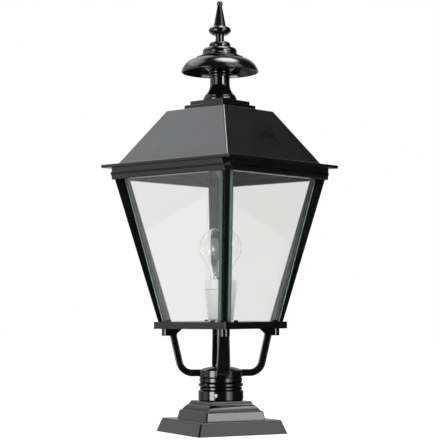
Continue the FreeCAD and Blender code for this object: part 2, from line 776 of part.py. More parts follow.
def hub():
    """The hub: a ring with its lock screw, the band that the arms enter and a low dome."""
    thread_bore = STEM_R + THREAD_GAP
    z_band_low = Z_HUB + LOCK_GROOVE_H
    z_band_high = z_band_low + LOCK_BAND_H
    body = turned_piece(
        (0, Z_HUB),
        (GROOVE_R, Z_HUB),
        (LOCK_BAND_R, z_band_low),
        (LOCK_BAND_R, z_band_high),
        (GROOVE_R, z_band_high + HUB_GROOVE_H / 2),
        (HUB_R, Z_HUB_BAND),
        (HUB_R, Z_HUB_SHOULDER),
        bulged((HUB_R, Z_HUB_SHOULDER), (HUB_DOME_R, Z_HUB_TOP), 1.0),
        (0, Z_HUB_TOP),
    )
    body = body.cut(upright(thread_bore, Z_HUB, Z_HUB_THREAD_TOP))
    half = HUB_CHAMBER_HALF
    chamber = block(-half, half, -half, half, Z_HUB_THREAD_TOP, Z_HUB_CHAMBER_TOP)
    body = body.cut(about_axis(chamber, CORNER_FIRST_ANGLE))
    body = body.cut(upright(TUBE_R + THREAD_GAP, Z_HUB_CHAMBER_TOP, Z_HUB_TOP))
    gap = ARM_POCKET_GAP
    half = ARM_W_LOW / 2 + gap
    pocket = block(ARM_ROOT_R, FAR, -half, half, Z_ARM - ARM_T / 2 - gap, FAR)
    hole = outward(ARM_SCREW_R + THREAD_GAP, HUB_CHAMBER_HALF, ARM_ROOT_R, Z_ARM)
    for index in range(CORNERS):
        body = body.cut(at_corner(pocket.fuse(hole), index))
    z_grub = z_band_low + LOCK_BAND_H / 2
    body = body.cut(grub_hole(LOCK_GRUB_R, LOCK_BAND_R, z_grub, LOCK_GRUB_ANGLE))
    return body


def lock_grub():
    """The small grub screw that locks the hub on the stem tube."""
    z = Z_HUB + LOCK_GROOVE_H + LOCK_BAND_H / 2
    return grub_screw(LOCK_GRUB_R, STEM_R + THREAD_GAP, LOCK_BAND_R, z, LOCK_GRUB_ANGLE)


# Arms

def arm_side():
    """The arm's side outline in the XZ plane: level, one bend, then a straight leaning rise."""
    half = ARM_T / 2
    lean = math.atan((ARM_TOP_R - ARM_KNEE_R) / ARM_RISE)
    turn = math.pi / 2 - lean
    tangent = ARM_BEND_R * math.tan(turn / 2)
    bend_r = ARM_KNEE_R - tangent
    centre = (bend_r, Z_ARM + ARM_BEND_R)

    def on_bend(radius, angle):
        return (centre[0] + radius * math.sin(angle), centre[1] - radius * math.cos(angle))

    outer = ARM_BEND_R + half
    inner = ARM_BEND_R - half
    across = half / math.cos(lean)
    points = [
        (ARM_ROOT_R, Z_ARM - half),
        (bend_r, Z_ARM - half),
        (on_bend(outer, turn / 2), on_bend(outer, turn)),
        (ARM_TOP_R + across, Z_PAD),
        (ARM_TOP_R - across, Z_PAD),
        on_bend(inner, turn),
        (on_bend(inner, turn / 2), (bend_r, Z_ARM + half)),
        (ARM_ROOT_R, Z_ARM + half),
    ]
    return points


def arm():
    """One arm along +X, with the pad that the bottom frame stands on."""
    side = face_from(arm_side())
    side.translate(Vector(0, -ARM_W_LOW / 2, 0))
    bar = side.extrude(Vector(0, ARM_W_LOW, 0))
    low = ARM_W_LOW / 2
    high = ARM_W_HIGH / 2
    z_low = Z_ARM + ARM_T
    taper = [
        Vector(0, -low, Z_HUB),
        Vector(0, low, Z_HUB),
        Vector(0, low, z_low),
        Vector(0, high, Z_PAD),
        Vector(0, -high, Z_PAD),
        Vector(0, -low, z_low),
    ]
    bar = bar.common(Part.Face(Part.makePolygon(taper + taper[:1])).extrude(Vector(FAR, 0, 0)))
    bar = round_edges(bar, ARM_EDGE_R, arm_edge_is_long)
    bar = bar.fuse(arm_pad())
    screw_end = HUB_CHAMBER_HALF + ARM_SCREW_L
    bar = bar.cut(outward(ARM_SCREW_R + THREAD_GAP, ARM_ROOT_R, screw_end + THREAD_GAP, Z_ARM))
    bolt = upright(ARM_BOLT_R + THREAD_GAP, Z_FRAME - ARM_BOLT_DEPTH, Z_FRAME, ARM_BOLT_RADIUS)
    return bar.cut(bolt)


def arm_edge_is_long(edge):
    """Whether the edge runs along the arm, not across it and not round its ends."""
    start, end = ends_of(edge)
    across = abs(start.y - end.y) > ARM_T / 2
    at_root = abs(start.x - ARM_ROOT_R) < 0.01 and abs(end.x - ARM_ROOT_R) < 0.01
    at_top = level_at(edge, Z_PAD)
    return not across and not at_root and not at_top


def arm_pad():
    """The pad on the arm's top, with a round outer end and a sloping tail."""
    half = ARM_W_HIGH / 2
    lean = math.atan((ARM_TOP_R - ARM_KNEE_R) / ARM_RISE)
    heel = ARM_TOP_R - ARM_T / 2 / math.cos(lean)
    outline = [
        (heel, Z_PAD),
        (PAD_END_CENTRE_R, Z_PAD),
        (PAD_END_CENTRE_R, Z_FRAME),
        (PAD_TAIL_R, Z_FRAME),
        (heel, Z_FRAME - PAD_TAIL_H),
    ]
    side = face_from(outline)
    side.translate(Vector(0, -half, 0))
    pad = side.extrude(Vector(0, 2 * half, 0))
    return pad.fuse(upright(PAD_END_R, Z_PAD, Z_FRAME, PAD_END_CENTRE_R)).removeSplitter()


def arm_screw():
    """A screw from the hub's chamber into an arm's root."""
    head_low = HUB_CHAMBER_HALF - ARM_SCREW_HEAD_H
    head = outward(ARM_SCREW_HEAD_R, head_low, HUB_CHAMBER_HALF, Z_ARM)
    shank = outward(ARM_SCREW_R, HUB_CHAMBER_HALF, HUB_CHAMBER_HALF + ARM_SCREW_L, Z_ARM)
    return head.fuse(shank)


def arm_bolt():
    """A bolt from the bottom frame's corner down into an arm's pad."""
    z_head = Z_CAGE - ARM_BOLT_HEAD_H
    shank = upright(ARM_BOLT_R, Z_FRAME - ARM_BOLT_DEPTH, z_head, ARM_BOLT_RADIUS)
    head = upright(ARM_BOLT_HEAD_R, z_head, Z_CAGE, ARM_BOLT_RADIUS)
    return shank.fuse(head)


# Cage: bottom frame, posts, panes and fascia

def bottom_frame():
    """The square frame that the posts and panes stand on."""
    half = FRAME_SIDE / 2
    rim_half = half - FRAME_RIM_W
    ring = square_tier(half, half, Z_FRAME, Z_CAGE)
    ring = round_edges(ring, FRAME_CORNER_R, lambda edge: climbs(edge, Z_FRAME, Z_CAGE))
    opening = square_tier(rim_half, rim_half, Z_FLOOR, Z_CAGE, FRAME_WEB_DIAGONAL, FRAME_WEB_DIAGONAL)
    ring = ring.cut(opening)
    flange_half = rim_half - FRAME_FLANGE_W
    ring = ring.cut(square_tier(flange_half, flange_half, Z_FRAME, Z_FLOOR))
    z_head = Z_CAGE - ARM_BOLT_HEAD_H
    hole = upright(ARM_BOLT_R + THREAD_GAP, Z_FRAME, Z_CAGE, ARM_BOLT_RADIUS)
    hole = hole.fuse(upright(ARM_BOLT_HEAD_R + THREAD_GAP, z_head, Z_CAGE, ARM_BOLT_RADIUS))
    z_head = Z_FRAME + POST_SCREW_HEAD_H
    hole = hole.fuse(upright(POST_SCREW_R + THREAD_GAP, Z_FRAME, Z_CAGE, POST_SCREW_RADIUS))
    hole = hole.fuse(upright(POST_SCREW_HEAD_R + THREAD_GAP, Z_FRAME, z_head, POST_SCREW_RADIUS))
    for index in range(CORNERS):
        ring = ring.cut(at_corner(hole, index))
    return ring


def floor_plate():
    """The sheet floor that lies on the bottom frame's flange and carries the lampholder."""
    half = FRAME_SIDE / 2 - FRAME_RIM_W - FLOOR_GAP
    reach = FRAME_WEB_DIAGONAL - FLOOR_GAP
    plate = square_tier(half, half, Z_FLOOR, Z_FLOOR + FLOOR_T, reach, reach)
    return plate.cut(upright(TUBE_R + THREAD_GAP, Z_FLOOR, Z_FLOOR + FLOOR_T))


def post_outline(z):
    """A corner post's section: a nose along +X and two legs that back the panes."""
    tip = along_cage(POST_TIP_LOW, POST_TIP_HIGH, z)
    half = along_cage(POST_HALF_LOW, POST_HALF_HIGH, z)
    seat = glass_distance(z) - (GLASS_T + GLASS_SEAL) / math.cos(glass_lean())
    leg_end = half + POST_LEG_LAP
    slant = POST_LEG_T / SQRT2
    root = seat * SQRT2 - half
    end = seat * SQRT2 - leg_end
    one_side = [(tip, half), (root, half), (end, leg_end), (end - slant, leg_end - slant)]
    inner = ((seat - POST_LEG_T) * SQRT2, 0)
    other_side = [(r, -across) for r, across in reversed(one_side)]
    return [Vector(r, across, z) for r, across in one_side + [inner] + other_side]


def corner_post():
    """One post along +X, from the bottom frame up into the fascia, where its nose is cut back."""
    z_top = Z_FASCIA + POST_TENON_H
    post = lofted(post_outline(Z_CAGE), post_outline(z_top))
    half = POST_HALF_HIGH + POST_LEG_LAP
    post = post.cut(block(POST_TENON_TIP_R, FAR, -half, half, Z_FASCIA, z_top))
    foot_hole = upright(POST_SCREW_R + THREAD_GAP, Z_CAGE, Z_CAGE + POST_SCREW_DEPTH, POST_SCREW_RADIUS)
    side_hole_end = FASCIA_CORNER_R - CORNER_SCREW_L - THREAD_GAP
    side_hole = outward(CORNER_SCREW_R + THREAD_GAP, side_hole_end, FASCIA_CORNER_R, Z_CORNER_SCREW)
    top_hole_low = z_top + STRAP_T - STRAP_SCREW_L
    top_hole = upright(STRAP_SCREW_R + THREAD_GAP, top_hole_low, z_top, STRAP_SCREW_RADIUS)
    return post.cut(foot_hole).cut(side_hole).cut(top_hole)


def post_screw():
    """A screw from under the bottom frame up into a post's foot."""
    z_head = Z_FRAME + POST_SCREW_HEAD_H
    head = upright(POST_SCREW_HEAD_R, Z_FRAME, z_head, POST_SCREW_RADIUS)
    shank = upright(POST_SCREW_R, z_head, Z_CAGE + POST_SCREW_DEPTH, POST_SCREW_RADIUS)
    return head.fuse(shank)


def pane_half_width(z):
    """Half a pane's width on its outer face, short of the corner by the post's nose and a gap."""
    nose = along_cage(POST_HALF_LOW, POST_HALF_HIGH, z)
    edge = nose + GLASS_SIDE_GAP + GLASS_T / SQRT2
    return glass_distance(z) - edge * SQRT2


def glass_pane():
    """The pane that faces +X."""
    z_low = Z_CAGE + GLASS_FOOT_GAP
    z_high = Z_FASCIA + GLASS_RISE_IN_FASCIA
    corners = []
    for z, side in ((z_low, -1), (z_low, 1), (z_high, 1), (z_high, -1)):
        corners.append(Vector(glass_distance(z), side * pane_half_width(z), z))
    face = Part.Face(Part.makePolygon(corners + corners[:1]))
    inward = Vector(-math.cos(glass_lean()), 0, math.sin(glass_lean()))
    return face.extrude(inward * GLASS_T)


def glass_clips():
    """Two small clips outside the foot of each pane."""
    inner = glass_distance(Z_CAGE + CLIP_H) + GLASS_SEAL
    middle = pane_half_width(Z_CAGE) - CLIP_INSET
    clips = []
    for face in range(4):
        for side in (-middle, middle):
            clip = block(inner, inner + CLIP_T, side - CLIP_L / 2, side + CLIP_L / 2, Z_CAGE, Z_CAGE + CLIP_H)
            clips.append(about_axis(clip, 90 * face))
    return clips


def fascia():
    """The top frame, open inside so that the panes drop in from above."""
    reach = FASCIA_CORNER_R
    levels = [
        (Z_FASCIA, FASCIA_LOW_HALF),
        (Z_FASCIA + FASCIA_BEVEL_H, FASCIA_LOWER_HALF),
        (Z_FASCIA + FASCIA_BEVEL_H + FASCIA_LOWER_H, FASCIA_LOWER_TOP_HALF),
        (Z_FASCIA_GROOVE, FASCIA_GROOVE_HALF),
        (Z_FASCIA_GROOVE + FASCIA_GROOVE_H, FASCIA_GROOVE_HALF),
        (Z_FASCIA_UPPER, FASCIA_UPPER_HALF),
        (Z_EAVES, FASCIA_TOP_HALF),
    ]
    ring = None
    for (z_low, low), (z_high, high) in zip(levels, levels[1:]):
        tier = square_tier(low, high, z_low, z_high, reach, reach)
        ring = tier if ring is None else ring.fuse(tier)
    ring = ring.removeSplitter()
    z_lip = Z_FASCIA + FASCIA_LIP_T
    lip = glass_distance(z_lip) + FASCIA_LIP_GAP
    throat = glass_distance(Z_EAVES) + FASCIA_THROAT_GAP
    corner = reach - FASCIA_CORNER_WALL
    ring = ring.cut(square_tier(lip, lip, Z_FASCIA, z_lip))
    ring = ring.cut(square_tier(throat, throat, z_lip, Z_EAVES))
    notch_half = POST_HALF_HIGH + FASCIA_NOTCH_GAP
    notch_end = POST_TIP_HIGH + 2 * FASCIA_NOTCH_GAP
    notch = block(0, notch_end, -notch_half, notch_half, Z_FASCIA, z_lip)
    notch = notch.fuse(block(0, corner, -notch_half, notch_half, z_lip, Z_EAVES))
    hole = outward(CORNER_SCREW_R + THREAD_GAP, 0, reach, Z_CORNER_SCREW)
    for index in range(CORNERS):
        ring = ring.cut(at_corner(notch.fuse(hole), index))
    return ring


def corner_screw():
    """A screw through the fascia's flat corner into a post."""
    shank = outward(CORNER_SCREW_R, FASCIA_CORNER_R - CORNER_SCREW_L, FASCIA_CORNER_R, Z_CORNER_SCREW)
    head = outward(CORNER_SCREW_HEAD_R, FASCIA_CORNER_R, FASCIA_CORNER_R + CORNER_SCREW_HEAD_H, Z_CORNER_SCREW)
    head = head.makeFillet(CORNER_SCREW_HEAD_H / 2, [edge_farthest_out(head)])
    return head.fuse(shank)


def edge_farthest_out(shape):
    """The edge whose centre lies farthest along +X."""
    return max(shape.Edges, key=lambda edge: edge.CenterOfMass.x)


# Strap and tie rod

def strap():
    """The strap across one diagonal, from post top to post top."""
    half = STRAP_W / 2
    z_top = Z_STRAP + STRAP_T
    bar = block(-STRAP_END_R, STRAP_END_R, -half, half, Z_STRAP, z_top)
    bar = bar.cut(upright(ROD_R + THREAD_GAP, Z_STRAP, z_top))
    for side in (-STRAP_SCREW_RADIUS, STRAP_SCREW_RADIUS):
        bar = bar.cut(strap_screw_shape(THREAD_GAP, side))
    room = glass_distance(Z_EAVES) + FASCIA_THROAT_GAP - STRAP_SIDE_GAP
    return at_corner(bar, 0).common(square_tier(room, room, Z_STRAP, z_top))


def strap_screw_shape(gap, place):
    """A countersunk screw in the strap, or with a gap the hole for it."""
    z_top = Z_STRAP + STRAP_T
    shank = upright(STRAP_SCREW_R + gap, z_top - STRAP_SCREW_L, z_top, place)
    low = Vector(place, 0, z_top - STRAP_SCREW_HEAD_H)
    head = Part.makeCone(STRAP_SCREW_R + gap, STRAP_SCREW_HEAD_R + gap, STRAP_SCREW_HEAD_H, low)
    return shank.fuse(head)


def strap_screws():
    """The two screws that hold the strap down on its posts."""
    places = (-STRAP_SCREW_RADIUS, STRAP_SCREW_RADIUS)
    return [at_corner(strap_screw_shape(0, place), 0) for place in places]


def tie_rod():
    """The threaded rod from the strap up into the finial."""
    return upright(ROD_R, Z_STRAP - ROD_TAIL, Z_FINIAL + ROD_END_IN_FINIAL)


def rod_nuts():
    """The nuts that hold the rod above and below the strap."""
    nuts = []
    for z in (Z_STRAP - ROD_NUT_H, Z_STRAP + STRAP_T):
        nut = hexagon(ROD_NUT_FLATS, z, z + ROD_NUT_H)
        nuts.append(nut.cut(upright(ROD_R + THREAD_GAP, z, z + ROD_NUT_H)))
    return nuts


# Roof

def eaves_plate():
    """The flat eaves, with four short skirts that locate the roof inside the fascia."""
    plate = square_tier(EAVES_HALF, EAVES_HALF, Z_EAVES, Z_ROOF)
    plate = plate.makeFillet(EAVES_EDGE_R, plate.Edges)
    plate = plate.cut(square_tier(EAVES_OPENING_HALF, EAVES_OPENING_HALF, Z_EAVES, Z_ROOF))
    outer = glass_distance(Z_EAVES) + FASCIA_THROAT_GAP - SKIRT_GAP
    skirt = block(outer - SKIRT_T, outer, -SKIRT_HALF_L, SKIRT_HALF_L, Z_EAVES - SKIRT_H, Z_EAVES)
    for side in range(4):
        plate = plate.fuse(about_axis(skirt, 90 * side))
    return plate


def roof_shell():
    """The hollow four-sided roof, its ridges and shoulders rounded."""
    z_top = Z_CAP_LOW
    shell = square_tier(ROOF_LOW_HALF, ROOF_HIGH_HALF, Z_ROOF, z_top)
    shell = round_edges(shell, ROOF_RIDGE_R, lambda edge: not level_at(edge, Z_ROOF))
    slope = (ROOF_LOW_HALF - ROOF_HIGH_HALF) / ROOF_H
    level_wall = ROOF_WALL * math.hypot(1, slope)
    inner_low = ROOF_LOW_HALF - level_wall
    inner_high = ROOF_HIGH_HALF - level_wall + slope * ROOF_WALL
    shell = shell.cut(square_tier(inner_low, inner_high, Z_ROOF, z_top - ROOF_WALL))
    return shell.cut(upright(ROD_R + ROD_HOLE_GAP, z_top - ROOF_WALL, z_top))


def square_cap(half, z_low, z_high):
    """A square cap plate with rounded edges and the rod's hole."""
    cap = square_tier(half, half, z_low, z_high)
    cap = round_edges(cap, CAP_EDGE_R, lambda edge: not level_at(edge, z_low))
    return cap.cut(upright(ROD_R + ROD_HOLE_GAP, z_low, z_high))


def neck():
    """The turned neck."""
    bore = ROD_R + ROD_HOLE_GAP
    z_bead = Z_NECK_BEADS + NECK_BEAD_H
    z_lip = Z_NECK_CUP + NECK_CUP_H
    return turned_piece(
        (bore, Z_NECK),
        (NECK_FOOT_R, Z_NECK),
        bulged((NECK_FOOT_R, Z_NECK), (NECK_FOOT_R, Z_NECK_RING), NECK_RING_BULGE),
        (NECK_RING_R, Z_NECK_RING),
        bulged((NECK_RING_R, Z_NECK_RING), (NECK_FLARE_FOOT_R, Z_NECK_FLARE), NECK_RING_BULGE),
        bulged((NECK_FLARE_FOOT_R, Z_NECK_FLARE), (NECK_R, Z_NECK_PLAIN), -NECK_FLARE_SAG),
        (NECK_R, Z_NECK_BEADS),
        bulged((NECK_R, Z_NECK_BEADS), (NECK_R, z_bead), NECK_BEAD_BULGE),
        bulged((NECK_R, z_bead), (NECK_R, Z_NECK_CUP), NECK_BEAD_BULGE),
        bulged((NECK_R, Z_NECK_CUP), (NECK_CUP_R, z_lip), NECK_CUP_SAG),
        (NECK_CUP_R, Z_NECK_LIP),
        (NECK_TOP_R, Z_NECK_LIP),
        (NECK_TOP_R, Z_HOOD_SEAT),
        (bore, Z_HOOD_SEAT),
    )


# Hood and finial

def hood():
    """The thin domed hood, with a rounded rim and a small ledge under the drum."""
    bore = ROD_R + ROD_HOLE_GAP
    rim_z = Z_HOOD_RIM + HOOD_T / 2
    inner_r = HOOD_R - HOOD_T
    inner_top = (HOOD_LEDGE_R - HOOD_T, Z_HOOD_LEDGE - HOOD_T / 2)
    return turned_piece(
        (inner_r, rim_z),
        bulged((inner_r, rim_z), (HOOD_R, rim_z), HOOD_T / 2),
        bulged((HOOD_R, rim_z), (HOOD_LEDGE_R, Z_HOOD_LEDGE), HOOD_DOME_SAG),
        (HOOD_LEDGE_R - HOOD_LEDGE_LEAN, Z_HOOD_LEDGE + HOOD_LEDGE_H),
        (DRUM_FOOT_R, Z_DRUM),
        (bore, Z_DRUM),
        (bore, Z_HOOD_SEAT),
        (NECK_TOP_R, Z_HOOD_SEAT),
        inner_top,
        bulged(inner_top, (inner_r, rim_z), -HOOD_DOME_SAG),
    )


def drum():
    """The drum on the hood, with a spread foot and a round shoulder."""
    bore = ROD_R + ROD_HOLE_GAP
    z_foot = Z_DRUM + DRUM_FOOT_H
    z_side = z_foot + DRUM_COVE_H
    z_shoulder = Z_HAT - DRUM_ROUND_R
    shoulder_end = (DRUM_R - DRUM_ROUND_R, Z_HAT)
    return turned_piece(
        (bore, Z_DRUM),
        (DRUM_FOOT_R, Z_DRUM),
        (DRUM_FOOT_R, z_foot),
        bulged((DRUM_FOOT_R, z_foot), (DRUM_R, z_side), -DRUM_FOOT_H / 2),
        (DRUM_R, z_shoulder),
        bulged((DRUM_R, z_shoulder), shoulder_end, DRUM_ROUND_R * (1 - SQRT2 / 2)),
        (bore, Z_HAT),
    )


def hat():
    """The small round cap on the drum, over a narrow groove."""
    bore = ROD_R + ROD_HOLE_GAP
    z_foot = Z_HAT + HAT_FOOT_H
    z_top = Z_HAT + HAT_H
    z_round = z_top - HAT_ROUND_R
    round_end = (HAT_R - HAT_ROUND_R, z_top)
    return turned_piece(
        (bore, Z_HAT),
        (HAT_FOOT_R, Z_HAT),
        (HAT_FOOT_R, z_foot),
        (HAT_R, z_foot),
        (HAT_R, z_round),
        bulged((HAT_R, z_round), round_end, HAT_ROUND_R * (1 - SQRT2 / 2)),
        (bore, z_top),
    )


def finial():
    """The finial, tapped from below for the tie rod."""
    z_disc = Z_FINIAL + FINIAL_STEM_H
    z_rim = z_disc + FINIAL_DISC_LOW_H
    z_rim_middle = z_disc + FINIAL_DISC_H / 2 + FINIAL_DISC_LOW_H / 2
    z_shoulder = z_disc + FINIAL_DISC_H
    z_cone = z_shoulder + FINIAL_SHOULDER_H
    z_cone_top = z_cone + FINIAL_CONE_H
    sink = math.sqrt(FINIAL_BALL_R ** 2 - FINIAL_CONE_HIGH_R ** 2)
    z_ball = z_cone_top + sink
    disc_side = (FINIAL_DISC_R, z_rim_middle)
    piece = turned_piece(
        (0, Z_FINIAL),
        (FINIAL_STEM_R, Z_FINIAL),
        (FINIAL_STEM_R, z_disc),
        (FINIAL_DISC_STEP_R, z_disc),
        (FINIAL_DISC_STEP_R + FINIAL_SHOULDER_H, z_rim),
        bulged((FINIAL_DISC_STEP_R + FINIAL_SHOULDER_H, z_rim), disc_side, FINIAL_DISC_LOW_SAG),
        bulged(disc_side, (FINIAL_SHOULDER_R, z_shoulder), FINIAL_DISC_HIGH_SAG),
        (FINIAL_CONE_LOW_R, z_cone),
        (FINIAL_CONE_HIGH_R, z_cone_top),
        ((FINIAL_BALL_R, z_ball), (0, z_ball + FINIAL_BALL_R)),
    )
    hole_top = Z_FINIAL + ROD_END_IN_FINIAL + ROD_HOLE_GAP
    return piece.cut(upright(ROD_R + THREAD_GAP, Z_FINIAL, hole_top))


# Lampholder and its tube

def lamp_tube():
    """The threaded tube that carries the wiring and ties hub, floor and lampholder together."""
    z_high = Z_HOLDER + HOLDER_FLOOR_T + TUBE_NUT_H
    tube = upright(TUBE_R, Z_HUB_CHAMBER_TOP, z_high)
    return tube.cut(upright(TUBE_R - TUBE_WALL, Z_HUB_CHAMBER_TOP, z_high))


def tube_nuts():
    """The nuts on the tube: on the hub, under the floor plate and inside the lampholder."""
    nuts = []
    for z in (Z_HUB_TOP, Z_FLOOR - TUBE_NUT_H, Z_HOLDER + HOLDER_FLOOR_T):
        nut = hexagon(TUBE_NUT_FLATS, z, z + TUBE_NUT_H)
        nuts.append(nut.cut(upright(TUBE_R + THREAD_GAP, z, z + TUBE_NUT_H)))
    return nuts


def holder_base():
    """The metal foot under the lampholder."""
    bore = TUBE_R + THREAD_GAP
    return turned_piece(
        (bore, Z_HOLDER_BASE),
        (HOLDER_BASE_R, Z_HOLDER_BASE),
        (HOLDER_BASE_R, Z_HOLDER_BASE + HOLDER_BASE_T),
        (HOLDER_BASE_NECK_R, Z_HOLDER_BASE + HOLDER_BASE_T),
        (HOLDER_BASE_NECK_R, Z_HOLDER),
        (bore, Z_HOLDER),
    )


def holder_body():
    """The lampholder's lower body, hollow over its floor."""
    bore = TUBE_R + THREAD_GAP
    room = SHELL_R + SHELL_WALL + THREAD_GAP
    z_floor = Z_HOLDER + HOLDER_FLOOR_T
    z_top = Z_HOLDER + HOLDER_BODY_H
    round_r = HOLDER_ROUND_R
    return turned_piece(
        (bore, Z_HOLDER),
        (HOLDER_FOOT_R - round_r, Z_HOLDER),
        bulged((HOLDER_FOOT_R - round_r, Z_HOLDER), (HOLDER_FOOT_R, Z_HOLDER + round_r), round_r / 4),
        (HOLDER_BODY_R, z_top - round_r / 2),
        (HOLDER_BODY_R - round_r / 2, z_top),
        (room, z_top),
        (room, z_floor),
        (bore, z_floor),
    )


def holder_ring():
    """The ring that screws on top of the lampholder's body."""
    room = SHELL_R + SHELL_WALL + THREAD_GAP
    z_top = Z_HOLDER_RING + HOLDER_RING_H
    round_r = HOLDER_ROUND_R
    return turned_piece(
        (room, Z_HOLDER_RING),
        (HOLDER_RING_R - round_r / 2, Z_HOLDER_RING),
        (HOLDER_RING_R, Z_HOLDER_RING + round_r / 2),
        (HOLDER_RING_R, z_top - round_r),
        bulged((HOLDER_RING_R, z_top - round_r), (HOLDER_RING_R - round_r, z_top), round_r / 4),
        (HOLDER_RING_MOUTH_R, z_top),
    )


def contact_block():
    """The block inside the lampholder that carries shell and contact."""
    bore_r = SHELL_R + SHELL_WALL
    return upright(bore_r, Z_CONTACT_BLOCK, Z_CONTACT)


def screw_shell():
    """The metal shell that the bulb's cap screws into."""
    shell = upright(SHELL_R + SHELL_WALL, Z_CONTACT, Z_CONTACT + SHELL_L)
    return shell.cut(upright(SHELL_R, Z_CONTACT, Z_CONTACT + SHELL_L))


def centre_contact():
    """The contact that meets the bulb's tip."""
    return upright(CONTACT_R, Z_CONTACT, Z_CONTACT + CONTACT_H)


# Bulb

def bulb_outline(inset):
    """The glass outline from its foot to its crown, moved inwards by inset."""
    radius = BULB_R - inset
    z_centre = Z_BULB_GLASS + BULB_GLASS_H - BULB_R
    belly = math.radians(BULB_BELLY_ANGLE)
    neck = (BULB_NECK_R - inset, Z_BULB_GLASS + BULB_NECK_H)
    belly_start = (radius * math.cos(belly), z_centre - radius * math.sin(belly))
    rise = math.radians((90 - BULB_BELLY_ANGLE) / 2)
    side = (radius * math.cos(rise), z_centre + radius * math.sin(rise))
    return neck, belly_start, (side, (0, z_centre + radius))


def bulb_glass():
    """The clear bulb: a thin shell, open at its foot."""
    neck, belly, crown = bulb_outline(0)
    in_neck, in_belly, in_crown = bulb_outline(BULB_WALL)
    outer_foot = (BULB_CAP_R - BULB_WALL, Z_BULB_GLASS)
    inner_foot = (BULB_CAP_R - 2 * BULB_WALL, Z_BULB_GLASS)
    outside = turned_piece(
        (0, Z_BULB_GLASS),
        outer_foot,
        neck,
        bulged(neck, belly, -BULB_SHOULDER_SAG),
        crown,
    )
    inside = turned_piece(
        (0, Z_BULB_GLASS),
        inner_foot,
        in_neck,
        bulged(in_neck, in_belly, -BULB_SHOULDER_SAG),
        in_crown,
    )
    return outside.cut(inside)


def bulb_cap():
    """The bulb's metal screw cap."""
    return upright(BULB_CAP_R, Z_BULB_CAP, Z_BULB_GLASS)


def bulb_insulator():
    """The dark insulator and tip under the cap."""
    z_low = Z_BULB_TIP
    return turned_piece(
        (0, z_low),
        (BULB_TIP_R, z_low),
        (BULB_TIP_R, z_low + BULB_TIP_H),
        (BULB_INSULATOR_R, Z_BULB_CAP),
        (0, Z_BULB_CAP),
    )


def bulb_stem():
    """The glass stem inside the bulb."""
    z = Z_BULB_GLASS
    shoulder = (BULB_STEM_R, z + BULB_STEM_H)
    return turned_piece(
        (0, z),
        (BULB_STEM_FOOT_R, z),
        bulged((BULB_STEM_FOOT_R, z), (BULB_STEM_R, z + BULB_STEM_FOOT_H), -BULB_STEM_R / 2),
        shoulder,
        bulged(shoulder, (0, z + BULB_STEM_H + BULB_STEM_R), BULB_STEM_R * (1 - SQRT2 / 2)),
    )


def filament():
    """Two leads that rise from the stem and the fine wire across them."""
    z_foot = Z_BULB_GLASS + BULB_STEM_FOOT_H
    z_top = Z_BULB_GLASS + BULB_STEM_H + LEAD_RISE
    wire = None
    for side in (-1, 1):
        foot = Vector(side * (BULB_STEM_R + LEAD_R), 0, z_foot)
        top = Vector(side * LEAD_SPREAD, 0, z_top)
        run = top - foot
        lead = Part.makeCylinder(LEAD_R, run.Length, foot, run)
        lead = lead.fuse(Part.makeSphere(LEAD_R, top))
        wire = lead if wire is None else wire.fuse(lead)
    across = Vector(-LEAD_SPREAD, 0, z_top)
    return wire.fuse(Part.makeCylinder(FILAMENT_R, 2 * LEAD_SPREAD, across, Vector(1, 0, 0)))


def save_plinth():
    """The plinth and its fittings, turned under the head."""
    save("plinth", about_axis(plinth(), PLINTH_TURN))
    save("spigot", about_axis(spigot(), PLINTH_TURN))
    save("spigot_screws", [about_axis(screw, PLINTH_TURN) for screw in spigot_screws()])
    save("terminal_block", about_axis(terminal_block(), PLINTH_TURN))
    save("earth_stud", about_axis(earth_stud(), PLINTH_TURN))
    save("earth_nut", about_axis(earth_nut(), PLINTH_TURN))


def save_stack():
    """The turned stack, the arms and their fasteners."""
    save("sleeve", sleeve())
    save("sleeve_grubs", sleeve_grubs())
    save("slim_ring", slim_ring())
    save("collar", collar())
    save("stem_tube", stem_tube())
    save("hub", hub())
    save("lock_grub", lock_grub())
    for index, shape in enumerate(at_all_corners(arm())):
        save("arm_" + str(index + 1), shape)
    save("arm_screws", at_all_corners(arm_screw()))
    save("arm_bolts", at_all_corners(arm_bolt()))


def save_cage():
    """The glazed cage."""
    save("bottom_frame", bottom_frame())
    save("floor_plate", floor_plate())
    for index, shape in enumerate(at_all_corners(corner_post())):
        save("corner_post_" + str(index + 1), shape)
    save("post_screws", at_all_corners(post_screw()))
    pane = glass_pane()
    for index in range(4):
        save("glass_pane_" + str(index + 1), about_axis(pane, 90 * index))
    save("glass_clips", glass_clips())
    save("fascia", fascia())
    save("corner_screws", at_all_corners(corner_screw()))
    save("strap", strap())
    save("strap_screws", strap_screws())
    save("tie_rod", tie_rod())
    save("rod_nuts", rod_nuts())


def save_roof():
    """The roof, its neck and hood, and the finial."""
    save("eaves_plate", eaves_plate())
    save("roof_shell", roof_shell())
    save("roof_cap_lower", square_cap(CAP_LOW_HALF, Z_CAP_LOW, Z_CAP_HIGH))
    save("roof_cap_upper", square_cap(CAP_HIGH_HALF, Z_CAP_HIGH, Z_NECK))
    save("neck", neck())
    save("hood", hood())
    save("hood_drum", drum())
    save("hood_hat", hat())
    save("finial", finial())


def save_lamp():
    """The lampholder on its tube, and the bulb."""
    save("lamp_tube", lamp_tube())
    save("tube_nuts", tube_nuts())
    save("holder_base", holder_base())
    save("holder_body", holder_body())
    save("holder_ring", holder_ring())
    save("contact_block", contact_block())
    save("screw_shell", screw_shell())
    save("centre_contact", centre_contact())
    save("bulb_glass", bulb_glass())
    save("bulb_cap", bulb_cap())
    save("bulb_insulator", bulb_insulator())
    save("bulb_stem", bulb_stem())
    save("filament", filament())


os.makedirs("parts", exist_ok=True)
save_plinth()
save_stack()
save_cage()
save_roof()
save_lamp()
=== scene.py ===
import math

